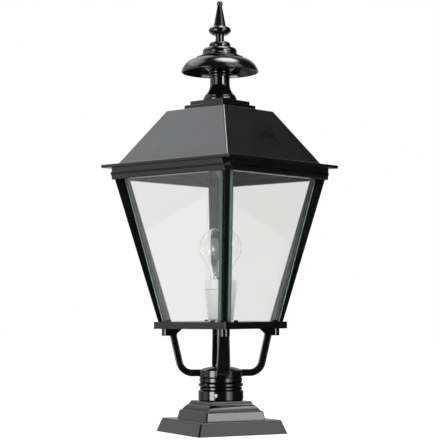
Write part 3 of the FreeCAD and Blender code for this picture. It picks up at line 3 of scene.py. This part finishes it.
import bmesh
import bpy
from mathutils import Matrix, Vector


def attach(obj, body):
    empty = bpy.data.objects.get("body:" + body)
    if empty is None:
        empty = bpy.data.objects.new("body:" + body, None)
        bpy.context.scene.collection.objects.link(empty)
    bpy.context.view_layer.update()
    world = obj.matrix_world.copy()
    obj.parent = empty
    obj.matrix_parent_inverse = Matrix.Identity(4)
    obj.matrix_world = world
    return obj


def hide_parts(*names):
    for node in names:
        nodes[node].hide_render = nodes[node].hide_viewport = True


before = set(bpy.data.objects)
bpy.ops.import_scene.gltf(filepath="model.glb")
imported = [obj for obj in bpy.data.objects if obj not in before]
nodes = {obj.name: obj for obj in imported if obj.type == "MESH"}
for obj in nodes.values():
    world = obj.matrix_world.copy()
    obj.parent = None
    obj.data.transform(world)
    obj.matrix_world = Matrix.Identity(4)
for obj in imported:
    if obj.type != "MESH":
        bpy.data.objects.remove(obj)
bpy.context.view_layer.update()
scene = bpy.context.scene

UP = Vector((0, 0, 1))


# ---------------------------------------------------------------- camera

# Lengths are metres. Sensor and lens are millimetres.
CAMERA_TURN = math.radians(41.32)
CAMERA_PITCH = math.radians(3.453)
CAMERA_ROLL = math.radians(0.171)
CAMERA_DISTANCE = 2.2344
CAMERA_ASIDE = -0.00054
CAMERA_Z = 0.1774
SENSOR_WIDTH = 36.0
LENS = 123.76
CLIP_NEAR = 0.05
CLIP_FAR = 60.0

to_camera = Vector((math.sin(CAMERA_TURN), -math.cos(CAMERA_TURN), 0.0))
image_right = Vector((math.cos(CAMERA_TURN), math.sin(CAMERA_TURN), 0.0))


def make_camera():
    """The photograph's camera, as fitted to the lantern's corners and rings."""
    data = bpy.data.cameras.new("camera")
    data.sensor_width = SENSOR_WIDTH
    data.lens = LENS
    data.clip_start = CLIP_NEAR
    data.clip_end = CLIP_FAR
    camera = bpy.data.objects.new("camera", data)
    scene.collection.objects.link(camera)
    forward = -to_camera * math.cos(CAMERA_PITCH) + UP * math.sin(CAMERA_PITCH)
    up = image_right.cross(forward)
    tilted_up = up * math.cos(CAMERA_ROLL) + image_right * math.sin(CAMERA_ROLL)
    tilted_right = image_right * math.cos(CAMERA_ROLL) - up * math.sin(CAMERA_ROLL)
    turn = Matrix((tilted_right, tilted_up, -forward)).transposed().to_4x4()
    place = to_camera * CAMERA_DISTANCE + image_right * CAMERA_ASIDE + UP * CAMERA_Z
    camera.matrix_world = Matrix.Translation(place) @ turn
    scene.camera = camera


# ---------------------------------------------------------------- node helpers

class Nodes:
    """A node tree and short ways to fill it."""

    def __init__(self, tree):
        self.tree = tree
        tree.nodes.clear()

    def add(self, kind, inputs=(), **settings):
        node = self.tree.nodes.new(kind)
        for key, value in settings.items():
            setattr(node, key, value)
        for key, value in dict(inputs).items():
            self.put(node.inputs[key], value)
        return node

    def first(self, kind, inputs=(), **settings):
        """A new node's first output."""
        return self.add(kind, inputs, **settings).outputs[0]

    def put(self, socket, value):
        if isinstance(value, bpy.types.NodeSocket):
            self.tree.links.new(value, socket)
        else:
            socket.default_value = value

    def math(self, operation, a, b=0.0):
        return self.first("ShaderNodeMath", {0: a, 1: b}, operation=operation)

    def dot(self, a, b):
        node = self.add("ShaderNodeVectorMath", {0: a, 1: b}, operation="DOT_PRODUCT")
        return node.outputs["Value"]

    def noise(self, where, scale, detail=2.0, rough=0.5):
        inputs = {"Vector": where, "Scale": scale, "Detail": detail, "Roughness": rough}
        return self.add("ShaderNodeTexNoise", inputs).outputs["Fac"]

    def span(self, value, low, high, to_low=0.0, to_high=1.0, smooth=False):
        node = self.add(
            "ShaderNodeMapRange",
            {"Value": value, "From Min": low, "From Max": high, "To Min": to_low, "To Max": to_high},
            interpolation_type="SMOOTHSTEP" if smooth else "LINEAR",
        )
        return node.outputs["Result"]

    def mix(self, factor, a, b):
        node = self.add("ShaderNodeMix", {"Factor": factor}, data_type="RGBA")
        self.put(node.inputs[6], a)
        self.put(node.inputs[7], b)
        return node.outputs[2]

    def either(self, factor, shader, other):
        """The first shader where the factor is nought, and the other where it is one."""
        return self.first("ShaderNodeMixShader", {0: factor, 1: shader, 2: other})

    def rounded(self, radius):
        """A normal that rounds the edges by radius."""
        return self.first("ShaderNodeBevel", {"Radius": radius}, samples=4)

    def bump(self, height, distance, normal=None):
        inputs = {"Strength": 1.0, "Distance": distance, "Height": height}
        if normal is not None:
            inputs["Normal"] = normal
        return self.first("ShaderNodeBump", inputs)

    def background(self, colour, strength):
        return self.first("ShaderNodeBackground", {"Color": colour, "Strength": strength})

    def object_place(self):
        return self.add("ShaderNodeTexCoord").outputs["Object"]


def solid(colour, share=1.0):
    """An opaque colour, or the given share of its brightness."""
    return tuple(share * part for part in colour) + (1.0,)


def shade(value):
    return (value, value, value, 1.0)


def new_material(name):
    material = bpy.data.materials.new(name)
    material.use_nodes = True
    return material, Nodes(material.node_tree)


def finish_surface(n, shader):
    out = n.add("ShaderNodeOutputMaterial")
    n.put(out.inputs["Surface"], shader)


# ---------------------------------------------------------------- materials

PAINT = (0.0032, 0.0033, 0.0037)
PAINT_IOR = 1.5
GLASS_IOR = 1.47
SHADOW_TINT = (0.95, 0.96, 0.95)
EDGE_GREEN_DEEP = (0.24, 0.40, 0.33)
EDGE_GREEN_PALE = (0.36, 0.55, 0.46)
# How squarely a surface faces along its pane before it is a cut edge.
CUT_FACING = 0.6
METAL_SCRATCH = 0.00001
METAL_EDGE = 0.0003
METAL_SPREAD = 0.25
MOULD_PITS = 0.00001
MOULD_EDGE = 0.0004


def enamel(name, rough, peel, wave, edge=0.0006):
    """Black stoved paint, with orange peel of height peel over slow waves of height wave."""
    material, n = new_material(name)
    where = n.object_place()
    patches = n.noise(where, 22.0, 4.0, 0.6)
    grain = n.noise(where, 1400.0, 3.0, 0.6)
    skin = n.noise(where, 620.0)
    slow = n.noise(where, 38.0)
    tone = n.mix(n.span(patches, 0.3, 0.7), solid(PAINT, 0.72), solid(PAINT))
    dull = n.span(patches, 0.25, 0.75, rough * 0.86, rough * 1.14)
    dull = n.math("ADD", dull, n.span(grain, 0.3, 0.7, -0.012, 0.012))
    relief = n.bump(slow, wave, n.rounded(edge))
    fine = n.bump(skin, peel, relief)
    inputs = {"Base Color": tone, "Roughness": dull, "IOR": PAINT_IOR, "Normal": fine}
    finish_surface(n, n.first("ShaderNodeBsdfPrincipled", inputs))
    return material


def metal(name, colour, rough):
    """Bare metal with drawn lines and duller patches."""
    material, n = new_material(name)
    where = n.object_place()
    patches = n.noise(where, 90.0, 4.0, 0.6)
    brushed = n.first("ShaderNodeMapping", {"Vector": where, "Scale": (1.0, 1.0, 9.0)})
    lines = n.noise(brushed, 900.0, 3.0, 0.7)
    tone = n.mix(n.span(patches, 0.3, 0.75), solid(colour, 0.7), solid(colour))
    smoothest = rough * (1.0 - METAL_SPREAD)
    dullest = rough * (1.0 + METAL_SPREAD)
    dull = n.span(patches, 0.25, 0.75, smoothest, dullest)
    fine = n.bump(lines, METAL_SCRATCH, n.rounded(METAL_EDGE))
    inputs = {"Base Color": tone, "Metallic": 1.0, "Roughness": dull, "Normal": fine}
    finish_surface(n, n.first("ShaderNodeBsdfPrincipled", inputs))
    return material


def moulded(name, colour, rough, coat=0.0):
    """Plastic, rubber or glazed china with slight patches and fine pits."""
    material, n = new_material(name)
    where = n.object_place()
    patches = n.noise(where, 60.0, 4.0, 0.6)
    pits = n.noise(where, 1500.0, 2.0, 0.6)
    tone = n.mix(n.span(patches, 0.3, 0.7), solid(colour, 0.9), solid(colour))
    dull = n.span(patches, 0.3, 0.7, rough * 0.85, rough * 1.15)
    fine = n.bump(pits, MOULD_PITS, n.rounded(MOULD_EDGE))
    inputs = {
        "Base Color": tone, "Roughness": dull, "Coat Weight": coat,
        "Coat Roughness": 0.06, "Normal": fine,
    }
    finish_surface(n, n.first("ShaderNodeBsdfPrincipled", inputs))
    return material


def cut_edges(n):
    """One on the ground side edges of the panes, and nought on their faces."""
    place = n.add("ShaderNodeSeparateXYZ", {0: n.object_place()})
    normal = n.add("ShaderNodeTexCoord").outputs["Normal"]
    facing = n.add("ShaderNodeSeparateXYZ", {0: normal})
    x_size = n.math("ABSOLUTE", place.outputs["X"])
    y_size = n.math("ABSOLUTE", place.outputs["Y"])
    on_x_pane = n.math("GREATER_THAN", x_size, y_size)
    on_y_pane = n.math("SUBTRACT", 1.0, on_x_pane)
    along_y = n.math("MULTIPLY", on_x_pane, n.math("ABSOLUTE", facing.outputs["Y"]))
    along_x = n.math("MULTIPLY", on_y_pane, n.math("ABSOLUTE", facing.outputs["X"]))
    return n.math("GREATER_THAN", n.math("ADD", along_x, along_y), CUT_FACING)


def ground_glass(n, where):
    """The green look of a pane's ground edge."""
    cloudy = n.span(n.noise(where, 300.0, 3.0, 0.6), 0.3, 0.7)
    green = n.mix(cloudy, solid(EDGE_GREEN_DEEP), solid(EDGE_GREEN_PALE))
    inputs = {"Base Color": green, "Roughness": 0.35, "Coat Weight": 0.5, "Coat Roughness": 0.1}
    return n.first("ShaderNodeBsdfPrincipled", inputs)


def clear_glass(name, tint, wave, green_edges=False):
    """Solid glass with faint smears, which lets lamp light through."""
    material, n = new_material(name)
    where = n.object_place()
    relief = n.bump(n.noise(where, 14.0, 2.0, 0.4), wave)
    smears = n.span(n.noise(where, 9.0, 5.0, 0.65), 0.5, 0.8, 0.0, 0.02)
    inputs = {
        "Base Color": solid(tint), "Roughness": smears, "IOR": GLASS_IOR,
        "Transmission Weight": 1.0, "Normal": relief,
    }
    glass = n.first("ShaderNodeBsdfPrincipled", inputs)
    clear = n.first("ShaderNodeBsdfTransparent", {"Color": solid(SHADOW_TINT)})
    shadow = n.add("ShaderNodeLightPath").outputs["Is Shadow Ray"]
    surface = n.either(shadow, glass, clear)
    if green_edges:
        surface = n.either(cut_edges(n), surface, ground_glass(n, where))
    finish_surface(n, surface)
    return material


cast_enamel = enamel("cast_enamel", 0.15, 0.0000035, 0.00004)
turned_enamel = enamel("turned_enamel", 0.10, 0.0000020, 0.00001, edge=0.0004)
sheet_enamel = enamel("sheet_enamel", 0.30, 0.0000030, 0.00003, edge=0.0012)
folded_enamel = enamel("folded_enamel", 0.17, 0.0000030, 0.00003)
spun_enamel = enamel("spun_enamel", 0.14, 0.0000020, 0.00002, edge=0.0004)
black_screw = enamel("black_screw", 0.20, 0.0000015, 0.00001, edge=0.0003)
zinc_steel = metal("zinc_steel", (0.62, 0.63, 0.64), 0.34)
brass = metal("brass", (0.72, 0.50, 0.22), 0.30)
nickel = metal("nickel_cap", (0.66, 0.64, 0.60), 0.24)
tungsten = metal("tungsten_wire", (0.30, 0.29, 0.28), 0.42)
porcelain = moulded("glazed_porcelain", (0.90, 0.90, 0.885), 0.30, coat=0.6)
insulator = moulded("cap_insulator", (0.012, 0.011, 0.012), 0.22)
terminal = moulded("terminal_plastic", (0.60, 0.60, 0.57), 0.42)
grey_seal = moulded("grey_seal", (0.085, 0.092, 0.088), 0.45)
pane_glass = clear_glass("pane_glass", (0.908, 0.905, 0.902), 0.00002, green_edges=True)
bulb_glass = clear_glass("bulb_glass", (0.99, 0.99, 0.985), 0.00001)

# The CAD nodes of each finish. The others are zinc_steel.
FINISHES = {
    cast_enamel: [
        "plinth", "bottom_frame", "corner_post_1", "corner_post_2", "corner_post_3", "corner_post_4",
        "arm_1", "arm_2", "arm_3", "arm_4", "hub",
    ],
    turned_enamel: ["sleeve", "slim_ring", "collar"],
    sheet_enamel: ["roof_shell", "floor_plate", "strap"],
    folded_enamel: ["fascia", "eaves_plate", "roof_cap_lower", "roof_cap_upper"],
    black_screw: [
        "glass_clips", "corner_screws", "lock_grub", "arm_screws", "post_screws", "arm_bolts",
    ],
    spun_enamel: ["neck", "hood", "hood_drum", "hood_hat", "finial"],
    pane_glass: ["glass_pane_1", "glass_pane_2", "glass_pane_3", "glass_pane_4"],
    bulb_glass: ["bulb_glass", "bulb_stem"],
    porcelain: ["holder_base", "holder_body", "holder_ring"],
    terminal: ["terminal_block", "contact_block"],
    insulator: ["bulb_insulator"],
    nickel: ["bulb_cap"],
    tungsten: ["filament"],
    brass: ["screw_shell", "centre_contact", "earth_stud", "earth_nut"],
}


def finish_nodes():
    """Every CAD node gets its finish in all its slots."""
    chosen = {name: material for material, names in FINISHES.items() for name in names}
    for name, node in nodes.items():
        material = chosen.get(name, zinc_steel)
        for slot in node.material_slots:
            slot.material = material


# ---------------------------------------------------------------- studio

# What polished things see round the lantern. Bearings are degrees from the camera, left negative, and
# heights are degrees over level. Each softbox or pale wall is (bearings, heights, soft edges, level).
SOFTBOXES = [
    ((28, 47), (-1, 17), (7, 7), 15.0),
    ((47, 72), (13, 23), (8, 6), 10.0),
    ((32, 60), (-12, -2), (9, 6), 2.6),
    ((32, 60), (-70, -12), (9, 6), 5.0),
    ((-58, -34), (-70, 14), (8, 9), 4.4),
    ((-58, -34), (-24, -1), (8, 5), 10.0),
    ((-100, -70), (-60, 18), (8, 14), 0.95),
    ((-134, -100), (-60, 4), (8, 6), 0.3),
    ((-134, -100), (4, 30), (8, 6), 0.8),
    ((-150, -80), (32, 62), (20, 12), 2.6),
    ((-230, -134), (-60, 30), (22, 12), 0.5),
    ((-230, -150), (30, 62), (22, 12), 1.35),
    ((148, 230), (-60, 62), (16, 12), 0.5),
    ((24, 78), (24, 58), (14, 10), 2.2),
]
SOFTBOX_COLOUR = (0.97, 0.985, 1.0)
# A round softbox overhead: its bearing and height, and how far from its middle it starts and ends to fade.
OVERHEAD = (75.0, 77.0)
OVERHEAD_INNER = 10.0
OVERHEAD_OUTER = 25.0
OVERHEAD_LEVEL = 15.0
DARK_LEVEL = 0.03
ROOM_LEVEL = 0.8
WHITE_LEVEL = 1.0
DEGREES_A_RADIAN = 180.0 / math.pi


def inside(n, value, limits, soft):
    """One between the limits and nought outside them, with soft edges."""
    half = soft / 2
    over = n.span(value, limits[0] - half, limits[0] + half, smooth=True)
    under = n.span(value, limits[1] - half, limits[1] + half, 1.0, 0.0, smooth=True)
    return n.math("MULTIPLY", over, under)


def softbox_level(n):
    """How bright the studio is in each direction."""
    ray = n.add("ShaderNodeTexCoord").outputs["Generated"]
    front = n.dot(ray, to_camera)
    aside = n.dot(ray, image_right)
    rise = n.add("ShaderNodeSeparateXYZ", {0: ray}).outputs["Z"]
    bearing = n.math("MULTIPLY", n.math("ARCTAN2", aside, front), DEGREES_A_RADIAN)
    height = n.math("MULTIPLY", n.math("ARCSINE", rise), DEGREES_A_RADIAN)
    turn, lift = (math.radians(angle) for angle in OVERHEAD)
    level_part = to_camera * math.cos(turn) + image_right * math.sin(turn)
    centre = level_part * math.cos(lift) + UP * math.sin(lift)
    away = n.math("MULTIPLY", n.math("ARCCOSINE", n.dot(ray, centre)), DEGREES_A_RADIAN)
    level = n.span(away, OVERHEAD_INNER, OVERHEAD_OUTER, OVERHEAD_LEVEL, DARK_LEVEL, smooth=True)
    for bearings, heights, soft, strength in SOFTBOXES:
        across = inside(n, bearing, bearings, soft[0])
        upward = inside(n, height, heights, soft[1])
        box = n.math("MULTIPLY", across, upward)
        level = n.math("ADD", level, n.math("MULTIPLY", box, strength))
    return level


def make_world():
    """A white room to look at and through, and the softboxes in what polished things mirror."""
    world = bpy.data.worlds.new("studio")
    scene.world = world
    world.use_nodes = True
    world.cycles.sampling_method = "NONE"
    n = Nodes(world.node_tree)
    level = softbox_level(n)
    boxes = n.background(solid(SOFTBOX_COLOUR), level)
    room = n.background(shade(1.0), ROOM_LEVEL)
    white = n.background(shade(1.0), WHITE_LEVEL)
    behind_glass = n.background(shade(1.0), n.math("MAXIMUM", level, WHITE_LEVEL))
    path = n.add("ShaderNodeLightPath").outputs
    through = n.math("MAXIMUM", path["Is Camera Ray"], path["Is Transmission Ray"])
    was_mirrored = n.math("GREATER_THAN", path["Glossy Depth"], 0.5)
    then_glass = n.math("MULTIPLY", path["Is Transmission Ray"], was_mirrored)
    mirrored = n.either(path["Is Glossy Ray"], room, boxes)
    plain = n.either(through, mirrored, white)
    out = n.add("ShaderNodeOutputWorld")
    n.put(out.inputs["Surface"], n.either(then_glass, plain, behind_glass))


LAMP_SIZE = 2.0
LAMP_AIM = Vector((0, 0, 0.3))


def make_lamp(name, place, power):
    """A soft round lamp that no mirror, glass or camera sees."""
    data = bpy.data.lights.new(name, "AREA")
    data.shape = "DISK"
    data.size = LAMP_SIZE
    data.energy = power
    lamp = bpy.data.objects.new(name, data)
    scene.collection.objects.link(lamp)
    lamp.location = place
    lamp.rotation_euler = (LAMP_AIM - Vector(place)).to_track_quat("-Z", "Y").to_euler()
    lamp.visible_glossy = False
    lamp.visible_camera = False
    lamp.visible_transmission = False


FLOOR_RADIUS = 9.0
FLOOR_SIDES = 96
FLOOR_GLOW = 0.34


def make_floor():
    """A pale paper floor. Its glow shows to the camera alone and leaves the object's shadow on it."""
    mesh = bpy.data.meshes.new("floor")
    bm = bmesh.new()
    bmesh.ops.create_circle(bm, cap_ends=True, segments=FLOOR_SIDES, radius=FLOOR_RADIUS)
    bm.to_mesh(mesh)
    bm.free()
    floor = bpy.data.objects.new("floor", mesh)
    scene.collection.objects.link(floor)
    material, n = new_material("pale_floor")
    tone = n.mix(n.noise(n.object_place(), 3.0, 3.0), shade(0.80), shade(0.82))
    paper = n.first("ShaderNodeBsdfDiffuse", {"Color": tone})
    glow = n.first("ShaderNodeEmission", {"Color": shade(1.0), "Strength": FLOOR_GLOW})
    nothing = n.first("ShaderNodeEmission", {"Color": shade(0.0), "Strength": 0.0})
    camera_ray = n.add("ShaderNodeLightPath").outputs["Is Camera Ray"]
    lit = n.either(camera_ray, nothing, glow)
    finish_surface(n, n.first("ShaderNodeAddShader", {0: paper, 1: lit}))
    mesh.materials.append(material)
    floor.visible_glossy = False


# ---------------------------------------------------------------- pieces

def make_piece(name, bm, material, body, replaced=None):
    """A piece that rides body, and stands for the CAD node replaced where one is named."""
    bmesh.ops.recalc_face_normals(bm, faces=bm.faces)
    mesh = bpy.data.meshes.new(name)
    bm.to_mesh(mesh)
    bm.free()
    piece = bpy.data.objects.new(name, mesh)
    scene.collection.objects.link(piece)
    mesh.materials.append(material)
    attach(piece, body)
    if replaced:
        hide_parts(replaced)


def skin_rows(bm, rows, smooth=True):
    """Faces between neighbouring rings of vertices, with the first and last ring closed."""
    for low, high in zip(rows, rows[1:]):
        count = len(low)
        for i in range(count):
            j = (i + 1) % count
            face = bm.faces.new((low[i], low[j], high[j], high[i]))
            face.smooth = smooth
    bm.faces.new(rows[0])
    bm.faces.new(rows[-1])


def corner_axes(corner):
    """The level directions out through a corner of the cage and along its flat."""
    out = math.radians(45 + 90 * corner)
    return Vector((math.cos(out), math.sin(out), 0)), Vector((-math.sin(out), math.cos(out), 0))


# Bulb cap

CAP_LOW = 0.1991
CAP_HIGH = 0.2221
CAP_OUTSIDE = 0.01315
CAP_FOOT_H = 0.0020
CAP_FOOT_TAPER = 0.0015
THREAD_DEPTH = 0.00085
THREAD_PITCH = 0.00363
THREAD_TOP = 0.2165
THREAD_FADE = 0.0015
CAP_AROUND = 96
CAP_LEVELS = 110


def cap_radius(z, turn):
    """The rolled cap's radius: a round thread that fades out under a plain skirt."""
    wave = 0.5 - 0.5 * math.cos(2 * math.pi * ((z - CAP_LOW) / THREAD_PITCH - turn))
    low_fade = min(1.0, (z - CAP_LOW) / CAP_FOOT_H)
    high_fade = min(1.0, max(0.0, (THREAD_TOP - z) / THREAD_FADE))
    groove = THREAD_DEPTH * wave * high_fade
    foot = (1.0 - low_fade) * CAP_FOOT_TAPER
    return CAP_OUTSIDE - groove - foot


def make_bulb_cap():
    """The rolled cap with its thread, closed at both ends."""
    bm = bmesh.new()
    rows = []
    for k in range(CAP_LEVELS + 1):
        z = CAP_LOW + (CAP_HIGH - CAP_LOW) * k / CAP_LEVELS
        ring = []
        for i in range(CAP_AROUND):
            turn = i / CAP_AROUND
            angle = 2 * math.pi * turn
            radius = cap_radius(z, turn)
            ring.append(bm.verts.new((radius * math.cos(angle), radius * math.sin(angle), z)))
        rows.append(ring)
    skin_rows(bm, rows)
    make_piece("bulb_cap_threaded", bm, nickel, "bulb", "bulb_cap")


# Filament

LEAD_FOOT_Z = 0.2341
LEAD_TOP_Z = 0.2691
LEAD_FOOT_X = 0.0028
LEAD_TOP_X = 0.0110
LEAD_CURVE = 1.4
LEAD_STEPS = 24
LEAD_R = 0.00032
LEAD_AROUND = 8
COIL_TURNS = 30
COIL_STEPS_A_TURN = 12
COIL_RADIUS = 0.00055
COIL_SAG = 0.0012
COIL_WIRE_R = 0.00014
COIL_AROUND = 6


def tube_along(bm, points, radius, around):
    """A round wire along points, with its ends closed."""
    rows = []
    side = Vector((0, 1, 0))
    for k, point in enumerate(points):
        before = points[max(0, k - 1)]
        after = points[min(len(points) - 1, k + 1)]
        run = (after - before).normalized()
        side = (side - run * side.dot(run)).normalized()
        other = run.cross(side)
        ring = []
        for i in range(around):
            angle = 2 * math.pi * i / around
            outward = side * math.cos(angle) + other * math.sin(angle)
            ring.append(bm.verts.new(point + radius * outward))
        rows.append(ring)
    skin_rows(bm, rows)


def make_filament():
    """Two leads that bend apart, and the coiled wire that sags between them."""
    bm = bmesh.new()
    for side in (-1, 1):
        lead = []
        for k in range(LEAD_STEPS + 1):
            t = k / LEAD_STEPS
            spread = LEAD_FOOT_X + (LEAD_TOP_X - LEAD_FOOT_X) * t ** LEAD_CURVE
            lead.append(Vector((side * spread, 0, LEAD_FOOT_Z + (LEAD_TOP_Z - LEAD_FOOT_Z) * t)))
        tube_along(bm, lead, LEAD_R, LEAD_AROUND)
    coil = []
    steps = COIL_TURNS * COIL_STEPS_A_TURN
    for k in range(steps + 1):
        t = k / steps
        angle = 2 * math.pi * COIL_TURNS * t
        x = -LEAD_TOP_X + 2 * LEAD_TOP_X * t
        middle = LEAD_TOP_Z - COIL_SAG * math.sin(math.pi * t)
        z = middle + COIL_RADIUS * math.sin(angle)
        coil.append(Vector((x, COIL_RADIUS * math.cos(angle), z)))
    tube_along(bm, coil, COIL_WIRE_R, COIL_AROUND)
    make_piece("filament_coiled", bm, tungsten, "bulb", "filament")


# Corner screws

SCREW_SEAT_R = 0.16042
SCREW_HEAD_R = 0.0030
SCREW_HEAD_H = 0.0016
SCREW_SHANK_R = 0.0020
SCREW_LENGTH = 0.0160
SCREW_Z = 0.38045
SCREW_AROUND = 36
DOME_STEPS = 9
DOME_SPAN = 0.72
SOCKET_R = 0.0013
SOCKET_MOUTH_R = SOCKET_R * 1.12
SOCKET_BEVEL = 0.0002
SOCKET_DEPTH = 0.0010
SIXTH = math.pi / 3


def screw_profile():
    """Radius and height of each ring from the shank's tip up to the top of the dome."""
    profile = [(SCREW_SHANK_R, -SCREW_LENGTH), (SCREW_SHANK_R, 0.0), (SCREW_HEAD_R, 0.0)]
    for k in range(1, DOME_STEPS):
        angle = math.pi / 2 * k / DOME_STEPS
        radius = SCREW_HEAD_R * math.cos(angle * DOME_SPAN)
        profile.append((radius, SCREW_HEAD_H * math.sin(angle)))
    return profile


def screw_ring(bm, corner, radius, height, hexagonal=False):
    """A ring about a corner screw's axis: a circle, or a hexagon with its corners at radius."""
    axis, aside = corner_axes(corner)
    centre = axis * SCREW_SEAT_R + UP * SCREW_Z + axis * height
    ring = []
    for i in range(SCREW_AROUND):
        angle = 2 * math.pi * i / SCREW_AROUND
        reach = radius
        if hexagonal:
            part = (angle + SIXTH / 2) % SIXTH - SIXTH / 2
            reach = radius * math.cos(SIXTH / 2) / math.cos(part)
        across = aside * math.cos(angle) * reach + UP * (math.sin(angle) * reach)
        ring.append(bm.verts.new(centre + across))
    return ring


def make_corner_screws():
    """Domed heads with a hexagon socket, one on each of the fascia's flat corners."""
    bm = bmesh.new()
    socket = [
        (SOCKET_MOUTH_R, SCREW_HEAD_H),
        (SOCKET_R, SCREW_HEAD_H - SOCKET_BEVEL),
        (SOCKET_R, SCREW_HEAD_H - SOCKET_DEPTH),
    ]
    for corner in range(4):
        rows = [screw_ring(bm, corner, radius, height) for radius, height in screw_profile()]
        rows += [screw_ring(bm, corner, radius, height, hexagonal=True) for radius, height in socket]
        skin_rows(bm, rows)
    make_piece("corner_screws_domed", bm, black_screw, "head", "corner_screws")


# Post seals

# A seal at its foot and at its top: its height, its outer and inner reach from the axis, its half width.
SEAL_FOOT = (0.1626, 0.0800, 0.0715, 0.0062)
SEAL_TOP = (0.3718, 0.1350, 0.1325, 0.0062)
SEAL_ROUND = 0.0012
SEAL_STEPS = 12


def make_post_seals():
    """A grey seal down the inside of each corner post, deeper at its foot."""
    bm = bmesh.new()
    for corner in range(4):
        axis, aside = corner_axes(corner)
        rows = []
        for k in range(SEAL_STEPS + 1):
            z, outer, inner, half = (
                foot + (top - foot) * k / SEAL_STEPS for foot, top in zip(SEAL_FOOT, SEAL_TOP)
            )
            one_side = [(outer, half), (inner + SEAL_ROUND, half), (inner, half - SEAL_ROUND)]
            section = one_side + [(reach, -across) for reach, across in reversed(one_side)]
            ring = []
            for reach, across in section:
                ring.append(bm.verts.new(axis * reach + aside * across + UP * z))
            rows.append(ring)
        skin_rows(bm, rows, smooth=False)
    make_piece("post_seals", bm, grey_seal, "head")


# ---------------------------------------------------------------- scene

scene.view_settings.view_transform = "Standard"
make_camera()
make_world()
make_lamp("key_lamp", (2.9, -1.3, 2.4), 70.0)
make_lamp("fill_lamp", (-1.6, -2.4, 2.2), 78.0)
make_floor()
finish_nodes()
make_bulb_cap()
make_filament()
make_corner_screws()
make_post_seals()
